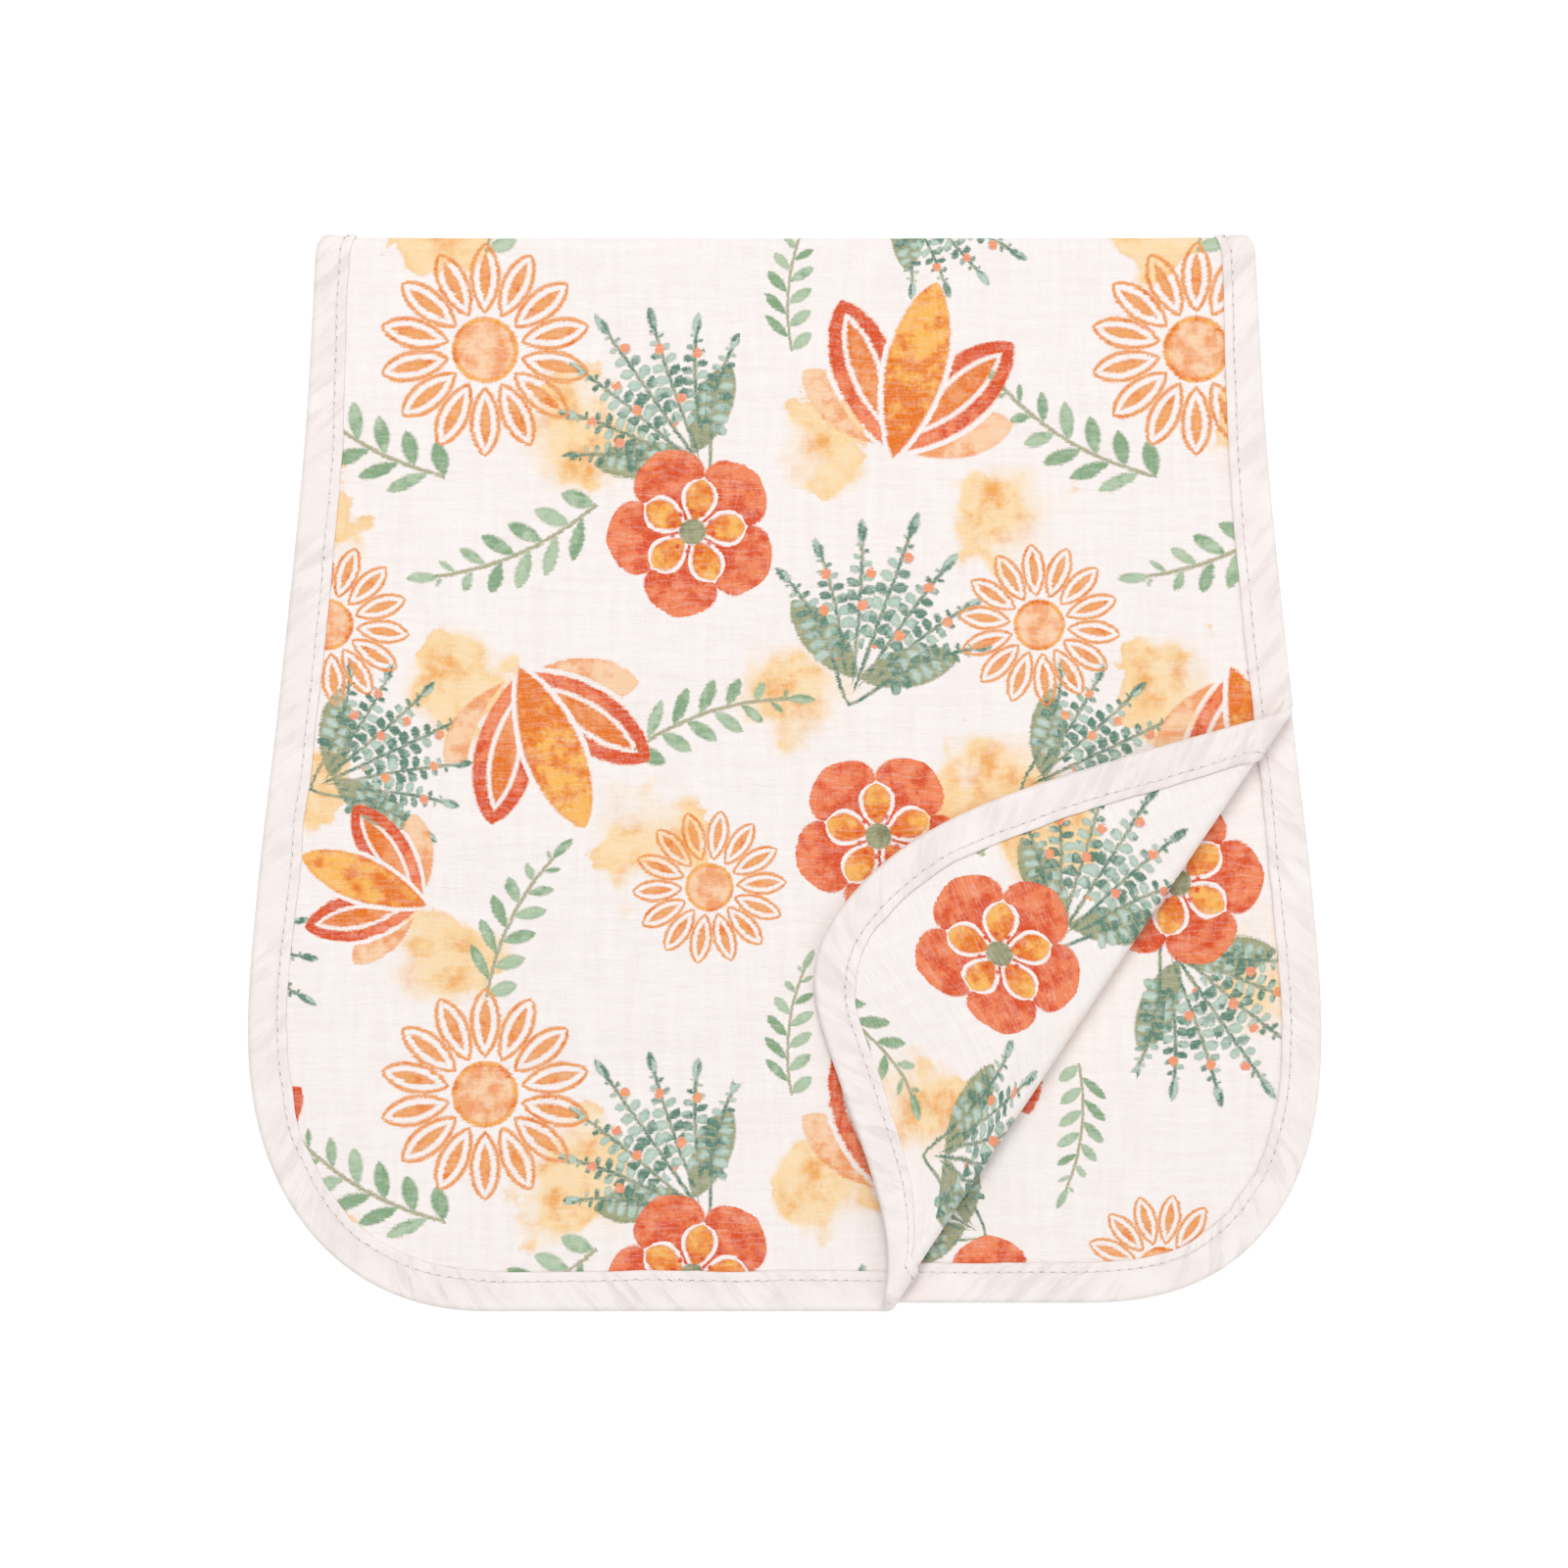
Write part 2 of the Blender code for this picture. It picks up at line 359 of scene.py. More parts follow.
@dataclass(frozen=True)
class Folding:
    """How the flat cloth is folded in half and its corner turned up."""

    cut: FlatCut
    crease_radius: float = 0.0022
    crease_at_side: tuple[float, float] = (0.1198, 0.0159)
    crease_at_end: tuple[float, float] = (0.0244, -0.1268)
    settle_front: float = 0.0019
    settle_from: float = 0.0105
    settle_over: float = 0.0350
    corner_rest: float = 0.0029
    ruck_shift: float = 0.0095
    ruck_reach: float = 0.0110
    ruck_way: tuple[float, float] = (0.92, 0.39)
    ruck_top: float = -0.034
    ruck_fade: float = 0.046
    ruck_height: float = 0.0030
    ruck_rise: float = 0.018
    ruck_fall: float = 0.034
    waves: tuple[Wave, ...] = (
        Wave(0.00022, 0.083, math.radians(24)),
        Wave(0.00018, 0.117, math.radians(103)),
        Wave(0.00012, 0.061, math.radians(-38)),
    )

    @property
    def crease_way(self) -> np.ndarray:
        """The way that the crease runs, from the open end to the side."""
        run = np.array(self.crease_at_side) - np.array(self.crease_at_end)
        return run / np.linalg.norm(run)

    @property
    def crease_out(self) -> np.ndarray:
        """The way across the crease, towards the corner that is turned up."""
        way = self.crease_way
        return np.array((way[1], -way[0]))

    @property
    def crease_start(self) -> float:
        """How far along crease_out the cloth starts to bend."""
        shown = self.crease_out @ np.array(self.crease_at_side)
        return float(shown - self.crease_radius - self.cut.half_muslin)

    @property
    def crease_arc(self) -> float:
        """The length of cloth that bends round the crease."""
        return math.pi * self.crease_radius

    def inside(self, across: np.ndarray, along: np.ndarray) -> np.ndarray:
        """0 under the binding, rising to 1 well inside the cloth."""
        return smooth((self.cut.from_edge(across, along) - self.settle_from) / self.settle_over)

    def front_drop(self, x: np.ndarray, y: np.ndarray) -> np.ndarray:
        """How far the upper layer's middle lies below its binding's.

        Args:
            x: The places from above, along X.
            y: The places from above, along Y.

        Returns:
            The drops in metres.
        """
        height = np.zeros_like(x)
        for wave in self.waves:
            run = x * math.cos(wave.way) + y * math.sin(wave.way)
            height += wave.height * np.sin(2 * math.pi * run / wave.length)
        along = self.cut.fold_y - y + self.cut.half_arc
        return (self.settle_front - height) * self.inside(x, along)

    def fold(self, flat: np.ndarray) -> np.ndarray:
        """Where points of the flat cloth lie once it is folded.

        Args:
            flat: Points as across, along, rise.

        Returns:
            The same points as X, Y, Z.
        """
        cut = self.cut
        across, along, rise = flat.T
        angle = np.clip(along / cut.fold_radius, -QUARTER_TURN, QUARTER_TURN)
        bent = cut.fold_radius + rise
        x = across.copy()
        y = cut.fold_y + bent * np.cos(angle) - np.maximum(np.abs(along) - cut.half_arc, 0)
        fold_z = cut.half_bound + cut.fold_radius
        z = np.empty_like(x)

        under = along <= cut.half_arc
        on_top = (1 + np.sin(angle[under])) / 2
        back = (cut.half_bound - cut.half_muslin) * self.inside(across[under], along[under])
        front = self.front_drop(across[under], np.full(under.sum(), cut.fold_y))
        z[under] = fold_z + bent[under] * np.sin(angle[under])
        z[under] -= back * (1 - on_top) + front * on_top

        lift = rise.copy()
        out = self.crease_out
        beyond = x * out[0] + y * out[1] - self.crease_start
        turned = ~under & (beyond > 0)
        past = np.maximum(beyond[turned] - self.crease_arc, 0)
        turn = np.minimum(beyond[turned], self.crease_arc) / self.crease_radius
        inner = self.crease_radius - rise[turned]
        reach = inner * np.sin(turn) - past - beyond[turned]
        lying_x = x[turned] + out[0] * reach
        lying_y = y[turned] + out[1] * reach
        pushed = smooth((self.ruck_top - lying_y) / self.ruck_fade)
        shift = self.ruck_shift * pushed * (1 - np.exp(-past / self.ruck_reach))
        lying_x += self.ruck_way[0] * shift
        lying_y += self.ruck_way[1] * shift
        over_binding = 1 - self.inside(lying_x, cut.fold_y - lying_y + cut.half_arc)
        near_crease = 1 - smooth(past / self.settle_over)
        sunk = 2 * self.crease_radius - self.corner_rest
        sunk = sunk * (1 - np.maximum(over_binding, near_crease))
        ruck = smooth(past / self.ruck_rise) * (
            1 - smooth((past - self.ruck_rise) / self.ruck_fall)
        )
        x[turned], y[turned] = lying_x, lying_y
        lift[turned] = self.crease_radius - inner * np.cos(turn) - sunk
        lift[turned] += self.ruck_height * pushed * ruck
        over = ~under
        z[over] = fold_z + cut.fold_radius + lift[over] - self.front_drop(x[over], y[over])
        return np.column_stack([x, y, z])

    def crease_lines(self, steps: int) -> list[tuple[np.ndarray, np.ndarray]]:
        """The lines on the flat cloth that bend round the crease.

        Args:
            steps: How many strips the bend is cut into.

        Returns:
            A place on each line and the way across it.
        """
        # On the flat cloth the way across turns over, because along runs against Y.
        out = self.crease_out * (1, -1)
        origin = np.array((0, self.cut.fold_y + self.cut.half_arc))
        turns = [self.crease_arc * step / steps for step in range(steps + 1)]
        return [(origin + out * (self.crease_start + turn), out) for turn in turns]


def new_piece(name: str, points: np.ndarray, faces: Sequence[Sequence[int]]) -> bpy.types.Object:
    """A new mesh object at the origin.

    Args:
        name: The piece's name.
        points: Its points.
        faces: Its faces, as rows of point numbers.

    Returns:
        The object, in the scene.
    """
    mesh = bpy.data.meshes.new(name)
    mesh.from_pydata(points.tolist(), [], faces)
    piece = bpy.data.objects.new(name, mesh)
    bpy.context.scene.collection.objects.link(piece)
    return piece


def score(piece: bpy.types.Object, lines: Sequence[tuple[np.ndarray, np.ndarray]]) -> None:
    """Cut a flat piece along straight lines, so that it bends cleanly there.

    Args:
        piece: The flat piece.
        lines: A place on each line and the way across it.
    """
    bm = bmesh.new()
    bm.from_mesh(piece.data)
    for place, way in lines:
        bmesh.ops.bisect_plane(
            bm,
            geom=bm.verts[:] + bm.edges[:] + bm.faces[:],
            dist=1e-5,
            plane_co=(*place, 0),
            plane_no=(*way, 0),
        )
    bm.to_mesh(piece.data)
    bm.free()


def points_of(mesh: bpy.types.Mesh) -> np.ndarray:
    """Where a mesh's points are.

    Args:
        mesh: The mesh.

    Returns:
        The points as rows of three.
    """
    found = np.empty(len(mesh.vertices) * 3)
    mesh.vertices.foreach_get("co", found)
    return found.reshape(-1, 3)


def finish(
    piece: bpy.types.Object, points: np.ndarray, material: bpy.types.Material
) -> bpy.types.Object:
    """Put a piece's points where they lie once folded, and give it its finish.

    Args:
        piece: The piece. Folding turns its faces over, and they are turned back.
        points: The new places, as rows of three.
        material: Its finish.

    Returns:
        The piece.
    """
    mesh = piece.data
    mesh.vertices.foreach_set("co", points.ravel())
    mesh.flip_normals()
    mesh.shade_smooth()
    mesh.materials.append(material)
    mesh.update()
    return piece


def keep(mesh: bpy.types.Mesh, name: str, domain: str, values: np.ndarray) -> None:
    """Store a number or a vector for each point, face or face corner.

    Args:
        mesh: The mesh.
        name: The attribute's name.
        domain: POINT, FACE or CORNER.
        values: The numbers, or rows of three.
    """
    kind, part = ("FLOAT", "value") if values.ndim == 1 else ("FLOAT_VECTOR", "vector")
    made = mesh.attributes.new(name, kind, domain)
    made.data.foreach_set(part, values.astype(np.float32).ravel())


class Motif(IntEnum):
    """The painted motifs of the print."""

    POPPY = 1
    LOTUS = 2
    DAISY = 3
    FERN = 4
    POSY = 5
    WASH = 6


class Placing(NamedTuple):
    """One motif on the repeat: sizes and places in millimetres, the turn in degrees."""

    motif: Motif
    across: float
    along: float
    radius: float
    turn: float
    tone: float


@dataclass(frozen=True)
class Print:
    """The tossed repeat of the print, in three layers of paint."""

    width: float = 0.168
    height: float = 0.176
    inner_shift: tuple[float, float] = (0.071, 0.047)
    blooms: tuple[Placing, ...] = (
        Placing(Motif.LOTUS, 30, 34, 27, 14, 0.2),
        Placing(Motif.DAISY, 97, 27, 26, 0, 0.3),
        Placing(Motif.POPPY, 146, 70, 21, -24, 0.7),
        Placing(Motif.DAISY, 60, 92, 20, 20, 0.6),
        Placing(Motif.LOTUS, 112, 119, 26, 158, 0.5),
        Placing(Motif.POPPY, 22, 142, 21, 33, 0.1),
        Placing(Motif.LOTUS, 70, 153, 20, -68, 0.9),
        Placing(Motif.DAISY, 150, 154, 19, 9, 0.8),
    )
    sprigs: tuple[Placing, ...] = (
        Placing(Motif.FERN, 66, 48, 25, -58, 0.2),
        Placing(Motif.POSY, 135, 36, 24, -35, 0.5),
        Placing(Motif.FERN, 103, 76, 25, -112, 0.6),
        Placing(Motif.POSY, 24, 86, 25, 20, 0.8),
        Placing(Motif.FERN, 152, 112, 23, 74, 0.9),
        Placing(Motif.POSY, 77, 121, 22, 65, 0.1),
        Placing(Motif.FERN, 104, 160, 22, 28, 0.4),
        Placing(Motif.POSY, 42, 173, 20, 120, 0.3),
        Placing(Motif.FERN, 1, 10, 18, 8, 0.7),
    )
    washes: tuple[Placing, ...] = (
        Placing(Motif.WASH, 52, 66, 24, 0, 0.1),
        Placing(Motif.WASH, 118, 48, 26, 70, 0.3),
        Placing(Motif.WASH, 90, 106, 21, 140, 0.5),
        Placing(Motif.WASH, 4, 108, 24, 210, 0.7),
        Placing(Motif.WASH, 48, 130, 23, 300, 0.9),
        Placing(Motif.WASH, 134, 142, 22, 20, 0.2),
        Placing(Motif.WASH, 8, 50, 19, 90, 0.4),
        Placing(Motif.WASH, 86, 172, 21, 250, 0.6),
    )

    def nearest(self, placings: Sequence[Placing], centres: np.ndarray) -> np.ndarray:
        """The motif that each face belongs to.

        Args:
            placings: The motifs of one layer of paint.
            centres: The faces' middles, on the repeat's plane.

        Returns:
            Rows of a motif's middle across and along, its radius, turn, tone and kind.
        """
        tile = np.array((self.width, self.height))
        within = centres % tile
        base = centres - within
        best = np.full(len(centres), np.inf)
        chosen = np.zeros((len(centres), 6))
        for placing in placings:
            radius = placing.radius * MM
            rest = (radius, math.radians(placing.turn), placing.tone, placing.motif)
            for shift in itertools.product((-1, 0, 1), repeat=2):
                middle = np.array((placing.across, placing.along)) * MM + tile * shift
                apart = np.linalg.norm(within - middle, axis=1) / radius
                closer = apart < best
                best[closer] = apart[closer]
                chosen[closer, :2] = (base + middle)[closer]
                chosen[closer, 2:] = rest
        return chosen

    def lay_on(self, mesh: bpy.types.Mesh, flat: np.ndarray) -> None:
        """Store, for each layer of paint, where each face corner lies on its motif.

        Args:
            mesh: The muslin's mesh.
            flat: Its points on the flat cloth.
        """
        corners = np.empty(len(mesh.loops), int)
        mesh.loops.foreach_get("vertex_index", corners)
        counts = np.empty(len(mesh.polygons), int)
        mesh.polygons.foreach_get("loop_total", counts)
        first = np.concatenate([[0], np.cumsum(counts)[:-1]])
        middles = np.add.reduceat(flat[corners], first, axis=0) / counts[:, None]
        inner = middles[:, 2] < 0
        shift = np.where(inner[:, None], np.array(self.inner_shift), 0.0)
        flip = np.where(inner[:, None], (-1.0, 1.0), (1.0, 1.0))
        on_plane = middles[:, :2] * flip + shift
        owner = np.repeat(np.arange(len(counts)), counts)
        places = flat[corners, :2] * flip[owner] + shift[owner]
        layers = (("bloom", self.blooms), ("sprig", self.sprigs), ("wash", self.washes))
        for name, placings in layers:
            chosen = self.nearest(placings, on_plane)
            middle, radius, turn = chosen[:, :2], chosen[:, 2], chosen[:, 3]
            local = (places - middle[owner]) / radius[owner, None]
            cos, sin = np.cos(turn)[owner], np.sin(turn)[owner]
            x = local[:, 0] * cos + local[:, 1] * sin
            # Along runs down the picture, so the motif's own up is against it.
            y = local[:, 0] * sin - local[:, 1] * cos
            keep(mesh, name, "CORNER", np.column_stack([x, y, chosen[owner, 4]]))
            keep(mesh, name + "_kind", "FACE", chosen[:, 5])


def operator(operation: str, swapped: bool = False) -> Callable[[Wire, Value], Wire]:
    """A method of Wire that adds one Math node.

    Args:
        operation: The Math node's operation.
        swapped: Whether the other value comes first.

    Returns:
        The method.
    """
    if swapped:
        return lambda self, other: self.nodes.math(operation, other, self)
    return lambda self, other: self.nodes.math(operation, self, other)


class Wire:
    """A value in a shader tree. Each sum with it adds a Math node to the tree."""

    def __init__(self, nodes: Nodes, socket: Socket) -> None:
        """Hold one output of the tree."""
        self.nodes = nodes
        self.socket = socket

    __add__ = __radd__ = operator("ADD")
    __mul__ = __rmul__ = operator("MULTIPLY")
    __sub__ = operator("SUBTRACT")
    __rsub__ = operator("SUBTRACT", swapped=True)
    __truediv__ = operator("DIVIDE")
    __rtruediv__ = operator("DIVIDE", swapped=True)
    __pow__ = operator("POWER")

    def __abs__(self) -> Wire:
        """The value without its sign."""
        return self.nodes.math("ABSOLUTE", self)


class Nodes:
    """Adds shader nodes to one tree and joins them."""

    def __init__(self, tree: bpy.types.NodeTree) -> None:
        """Work on a tree."""
        self.tree = tree

    def feed(self, socket: Socket, value: Value) -> None:
        """Join a socket to another, or set its value.

        Args:
            socket: An input.
            value: What it gets.
        """
        if isinstance(value, Wire):
            self.tree.links.new(value.socket, socket)
        else:
            socket.default_value = value

    def add(self, kind: str, *values: Value, **settings: object) -> bpy.types.Node:
        """A new node.

        Args:
            kind: The node's class name after ShaderNode.
            *values: Its inputs, in order.
            **settings: Its properties.

        Returns:
            The node.
        """
        node = self.tree.nodes.new("ShaderNode" + kind)
        for name, value in settings.items():
            setattr(node, name, value)
        for socket, value in zip(node.inputs, values):
            self.feed(socket, value)
        return node

    def math(self, operation: str, *values: Value, clamp: bool = False) -> Wire:
        """A number worked out from others.

        Args:
            operation: The Math node's operation.
            *values: Its inputs, in order.
            clamp: Whether the result is kept from 0 to 1.

        Returns:
            The result.
        """
        node = self.add("Math", *values, operation=operation, use_clamp=clamp)
        return Wire(self, node.outputs[0])

    def vector(self, operation: str, *values: Value) -> Wire:
        """A vector worked out from others."""
        return Wire(self, self.add("VectorMath", *values, operation=operation).outputs[0])

    def length(self, vector: Wire) -> Wire:
        """A vector's length, its Z left out."""
        level = self.vector("MULTIPLY", vector, (1, 1, 0))
        return Wire(self, self.add("VectorMath", level, operation="LENGTH").outputs["Value"])

    def parts(self, vector: Wire) -> list[Wire]:
        """A vector's X, Y and Z."""
        return [Wire(self, part) for part in self.add("SeparateXYZ", vector).outputs]

    def join(self, x: Value, y: Value, z: Value = 0.0) -> Wire:
        """A vector made of three numbers."""
        return Wire(self, self.add("CombineXYZ", x, y, z).outputs[0])

    def mix(self, share: Value, low: Value, high: Value) -> Wire:
        """A colour between two others.

        Args:
            share: 0 for the first colour, 1 for the second.
            low: The first colour.
            high: The second colour.

        Returns:
            The colour.
        """
        node = self.add("Mix", share, data_type="RGBA")
        # A Mix node has sockets for each kind of data, and these take colours.
        first_color, second_color, mixed_color = 6, 7, 2
        self.feed(node.inputs[first_color], low)
        self.feed(node.inputs[second_color], high)
        return Wire(self, node.outputs[mixed_color])

    def step(self, value: Value, low: Value, high: Value) -> Wire:
        """A smooth step from 0 at low to 1 at high."""
        node = self.add("MapRange", value, low, high, interpolation_type="SMOOTHSTEP")
        return Wire(self, node.outputs[0])

    def noise(self, place: Value, scale: float, detail: float = 2.0, rough: float = 0.5) -> Wire:
        """Smooth noise, about 0.5 on the whole.

        Args:
            place: Where it is read.
            scale: How fine it is.
            detail: How many finer layers it has.
            rough: How strong those are.

        Returns:
            The noise.
        """
        node = self.add("TexNoise", noise_dimensions="3D")
        given = {"Vector": place, "Scale": scale, "Detail": detail, "Roughness": rough}
        for name, value in given.items():
            self.feed(node.inputs[name], value)
        return Wire(self, node.outputs[0])

    def stored(self, name: str, output: str = "Vector") -> Wire:
        """An attribute of the piece."""
        return Wire(self, self.add("Attribute", attribute_name=name).outputs[output])

    def use(self, tree: bpy.types.NodeTree, *values: Value) -> list[Wire]:
        """The outputs of a group, given its inputs in order."""
        return [Wire(self, out) for out in self.add("Group", *values, node_tree=tree).outputs]


GroupBody = Callable[..., Sequence[Wire]]
SOCKETS = {"": "NodeSocketFloat", "vector": "NodeSocketVector", "color": "NodeSocketColor"}


def make_group(name: str, inputs: str, outputs: str, body: GroupBody) -> bpy.types.NodeTree:
    """Build a shader node group once.

    Args:
        name: The group's name.
        inputs: The inputs' names, with :vector or :color behind those that aren't numbers.
        outputs: The outputs' names, written in the same way.
        body: Adds the nodes, given the tree's helper and the inputs, and returns the outputs.

    Returns:
        The group.
    """
    tree = bpy.data.node_groups.new(name, "ShaderNodeTree")
    for in_out, labels in (("INPUT", inputs), ("OUTPUT", outputs)):
        for label in labels.split():
            title, _, kind = label.partition(":")
            tree.interface.new_socket(title, in_out=in_out, socket_type=SOCKETS[kind])
    nodes = Nodes(tree)
    entry = tree.nodes.new("NodeGroupInput")
    leave = tree.nodes.new("NodeGroupOutput")
    given = [Wire(nodes, entry.outputs[place]) for place in range(len(inputs.split()))]
    for socket, found in zip(leave.inputs, body(nodes, *given)):
        nodes.feed(socket, found)
    return tree


@dataclass
class Brushes:
    """The painted shapes that the motifs are made of, each a node group."""

    petal: bpy.types.NodeTree = field(init=False)
    rosette: bpy.types.NodeTree = field(init=False)
    sprig: bpy.types.NodeTree = field(init=False)
    paint: bpy.types.NodeTree = field(init=False)

    def __post_init__(self) -> None:
        """Build the groups."""
        for name, inputs, outputs in (
            ("petal", "Place:vector Turn Foot Length Width Belly", "Depth Along"),
            ("rosette", "Place:vector Count Turn", "Place:vector"),
            (
                "sprig",
                "Place:vector Bend Pitch Length Width Lean Start Seed",
                "Leaf Stem Tone",
            ),
            ("paint", "Flat:vector Depth Shade Light:color Deep:color Edge", "Color:color Cover"),
        ):
            body = getattr(self, name + "_nodes")
            setattr(self, name, make_group(name + "_shape", inputs, outputs, body))

    @staticmethod
    def petal_nodes(
        nodes: Nodes, place: Wire, turn: Wire, foot: Wire, length: Wire, width: Wire, belly: Wire
    ) -> tuple[Wire, ...]:
        """A pointed oval that stands on its foot.

        Args:
            nodes: Where the nodes go.
            place: The place that is painted.
            turn: How far the petal leans about its foot.
            foot: Where the foot is, up from the middle.
            length: How long the petal is.
            width: Half its width.
            belly: Over 1, the widest part lies towards the tip.

        Returns:
            How far inside the petal the place is, and its share of the way to the tip.
        """
        x, y, _ = nodes.parts(place)
        cos, sin = nodes.math("COSINE", turn), nodes.math("SINE", turn)
        up = y - foot
        side = x * cos - up * sin
        rise = x * sin + up * cos
        share = nodes.math("DIVIDE", rise, length, clamp=True)
        eased = share**belly
        half = ((1 - eased) * eased * 4) ** 0.7 * width
        away = abs(side) + abs(rise - share * length)
        return half - away - 0.012, share

    @staticmethod
    def rosette_nodes(nodes: Nodes, place: Wire, count: Wire, turn: Wire) -> tuple[Wire, ...]:
        """Places round a centre, brought to one ray that runs up.

        Args:
            nodes: Where the nodes go.
            place: The place that is painted.
            count: How many rays there are.
            turn: How far they are turned.

        Returns:
            The place on the ray, alone.
        """
        x, y, _ = nodes.parts(place)
        sector = 2 * math.pi / count
        turns = (nodes.math("ARCTAN2", x, y) + turn) / sector
        rest = (turns - nodes.math("FLOOR", turns + 0.5)) * sector
        far = nodes.length(place)
        return (nodes.join(far * nodes.math("SINE", rest), far * nodes.math("COSINE", rest)),)

    def sprig_nodes(
        self,
        nodes: Nodes,
        place: Wire,
        bend: Wire,
        pitch: Wire,
        length: Wire,
        width: Wire,
        lean: Wire,
        start: Wire,
        seed: Wire,
    ) -> tuple[Wire, ...]:
        """A bent stem from -1 to 1 with leaves on both sides, smaller towards the tip.

        Args:
            nodes: Where the nodes go.
            place: The place that is painted.
            bend: How much the stem bends.
            pitch: The step between the leaves of a side.
            length: A leaf's length.
            width: Half a leaf's width.
            lean: How far a leaf leans out.
            start: Where the leaves begin.
            seed: Picks the leaves' tones.

        Returns:
            How far inside a leaf and inside the stem the place is, and the leaf's tone.
        """
        x, y, _ = nodes.parts(place)
        side = x - y * y * bend
        sign = nodes.math("SIGN", side)
        staggered = y + sign * 0.25 * pitch
        cells = (staggered + 0.86) / pitch
        within = nodes.math("FRACT", cells) * pitch
        taper = 1 - nodes.step(y, 0.0, 1.25)
        beside = nodes.join(abs(side), within)
        leaf, _ = nodes.use(self.petal, beside, lean, 0.01, length * taper, width * taper, 1.15)
        top, _ = nodes.use(self.petal, nodes.join(side, y), 0.0, 0.70, 0.30, width * 0.8, 1.0)
        begun = nodes.math("GREATER_THAN", staggered - within, start)
        body = begun * nodes.step(y, 0.80, 0.76)
        shape = nodes.math("MAXIMUM", leaf + (body * 2 - 2), top)
        stem_body = nodes.step(y, -1.0, -0.94) * nodes.step(y, 0.84, 0.78)
        stem = 0.020 - abs(side) + (stem_body - 1)
        lot = nodes.join(nodes.math("FLOOR", cells), sign, seed)
        tone = nodes.add("TexWhiteNoise", lot, noise_dimensions="3D").outputs["Value"]
        return shape, stem, Wire(nodes, tone)

    @staticmethod
    def paint_nodes(
        nodes: Nodes, flat: Wire, depth: Wire, shade: Wire, light: Wire, deep: Wire, edge: Wire
    ) -> tuple[Wire, ...]:
        """Watercolour: pools and grain in the colour, darker along the rim, a soft edge.

        Args:
            nodes: Where the nodes go.
            flat: The place on the flat cloth.
            depth: How far inside the shape the place is.
            shade: From 0, thin, to 1, pooled.
            light: The thin paint's colour.
            deep: The pooled paint's colour.
            edge: How soft the edge is.

        Returns:
            The colour and its cover.
        """
        pools = (nodes.noise(flat, 260.0, 3.0, 0.6) - 0.5) * 2.4 + shade
        grain = nodes.noise(flat, 1500.0, 2.0, 0.6)
        rim = 1 - nodes.step(depth, 0.0, 0.05)
        color = nodes.mix(nodes.step(pools, 0.18, 0.86) + rim * 0.28, light, deep)
        cover = nodes.step(depth + (grain - 0.5) * 0.030, edge * -1, edge)
        return color, cover * nodes.math("ADD", 0.80, grain * 0.36, clamp=True)


@dataclass(frozen=True)
class Inks:
    """The print's colours, as screens show them, each thin and then pooled."""

    rust: Ink = ink((241, 134, 86), (220, 78, 28))
    coral: Ink = ink((242, 160, 102), (243, 150, 116))
    peach: Ink = ink((250, 208, 168), (242, 160, 102))
    heart: Ink = ink((242, 160, 102), (232, 118, 10))
    gold: Ink = ink((250, 186, 90), (232, 118, 10))
    line: Ink = ink((240, 166, 98), (232, 118, 10))
    dots: Ink = ink((220, 78, 28), (220, 78, 28))
    wash: Ink = ink((251, 214, 150), (241, 164, 66))
    sage: Ink = ink((180, 202, 172), (128, 164, 124))
    teal: Ink = ink((190, 212, 198), (88, 130, 112))
    stem: Ink = ink((176, 170, 140), (176, 170, 140))
    twig: Ink = ink((176, 170, 140), (88, 130, 112))
    olive: Ink = ink((160, 163, 124), (122, 130, 92))


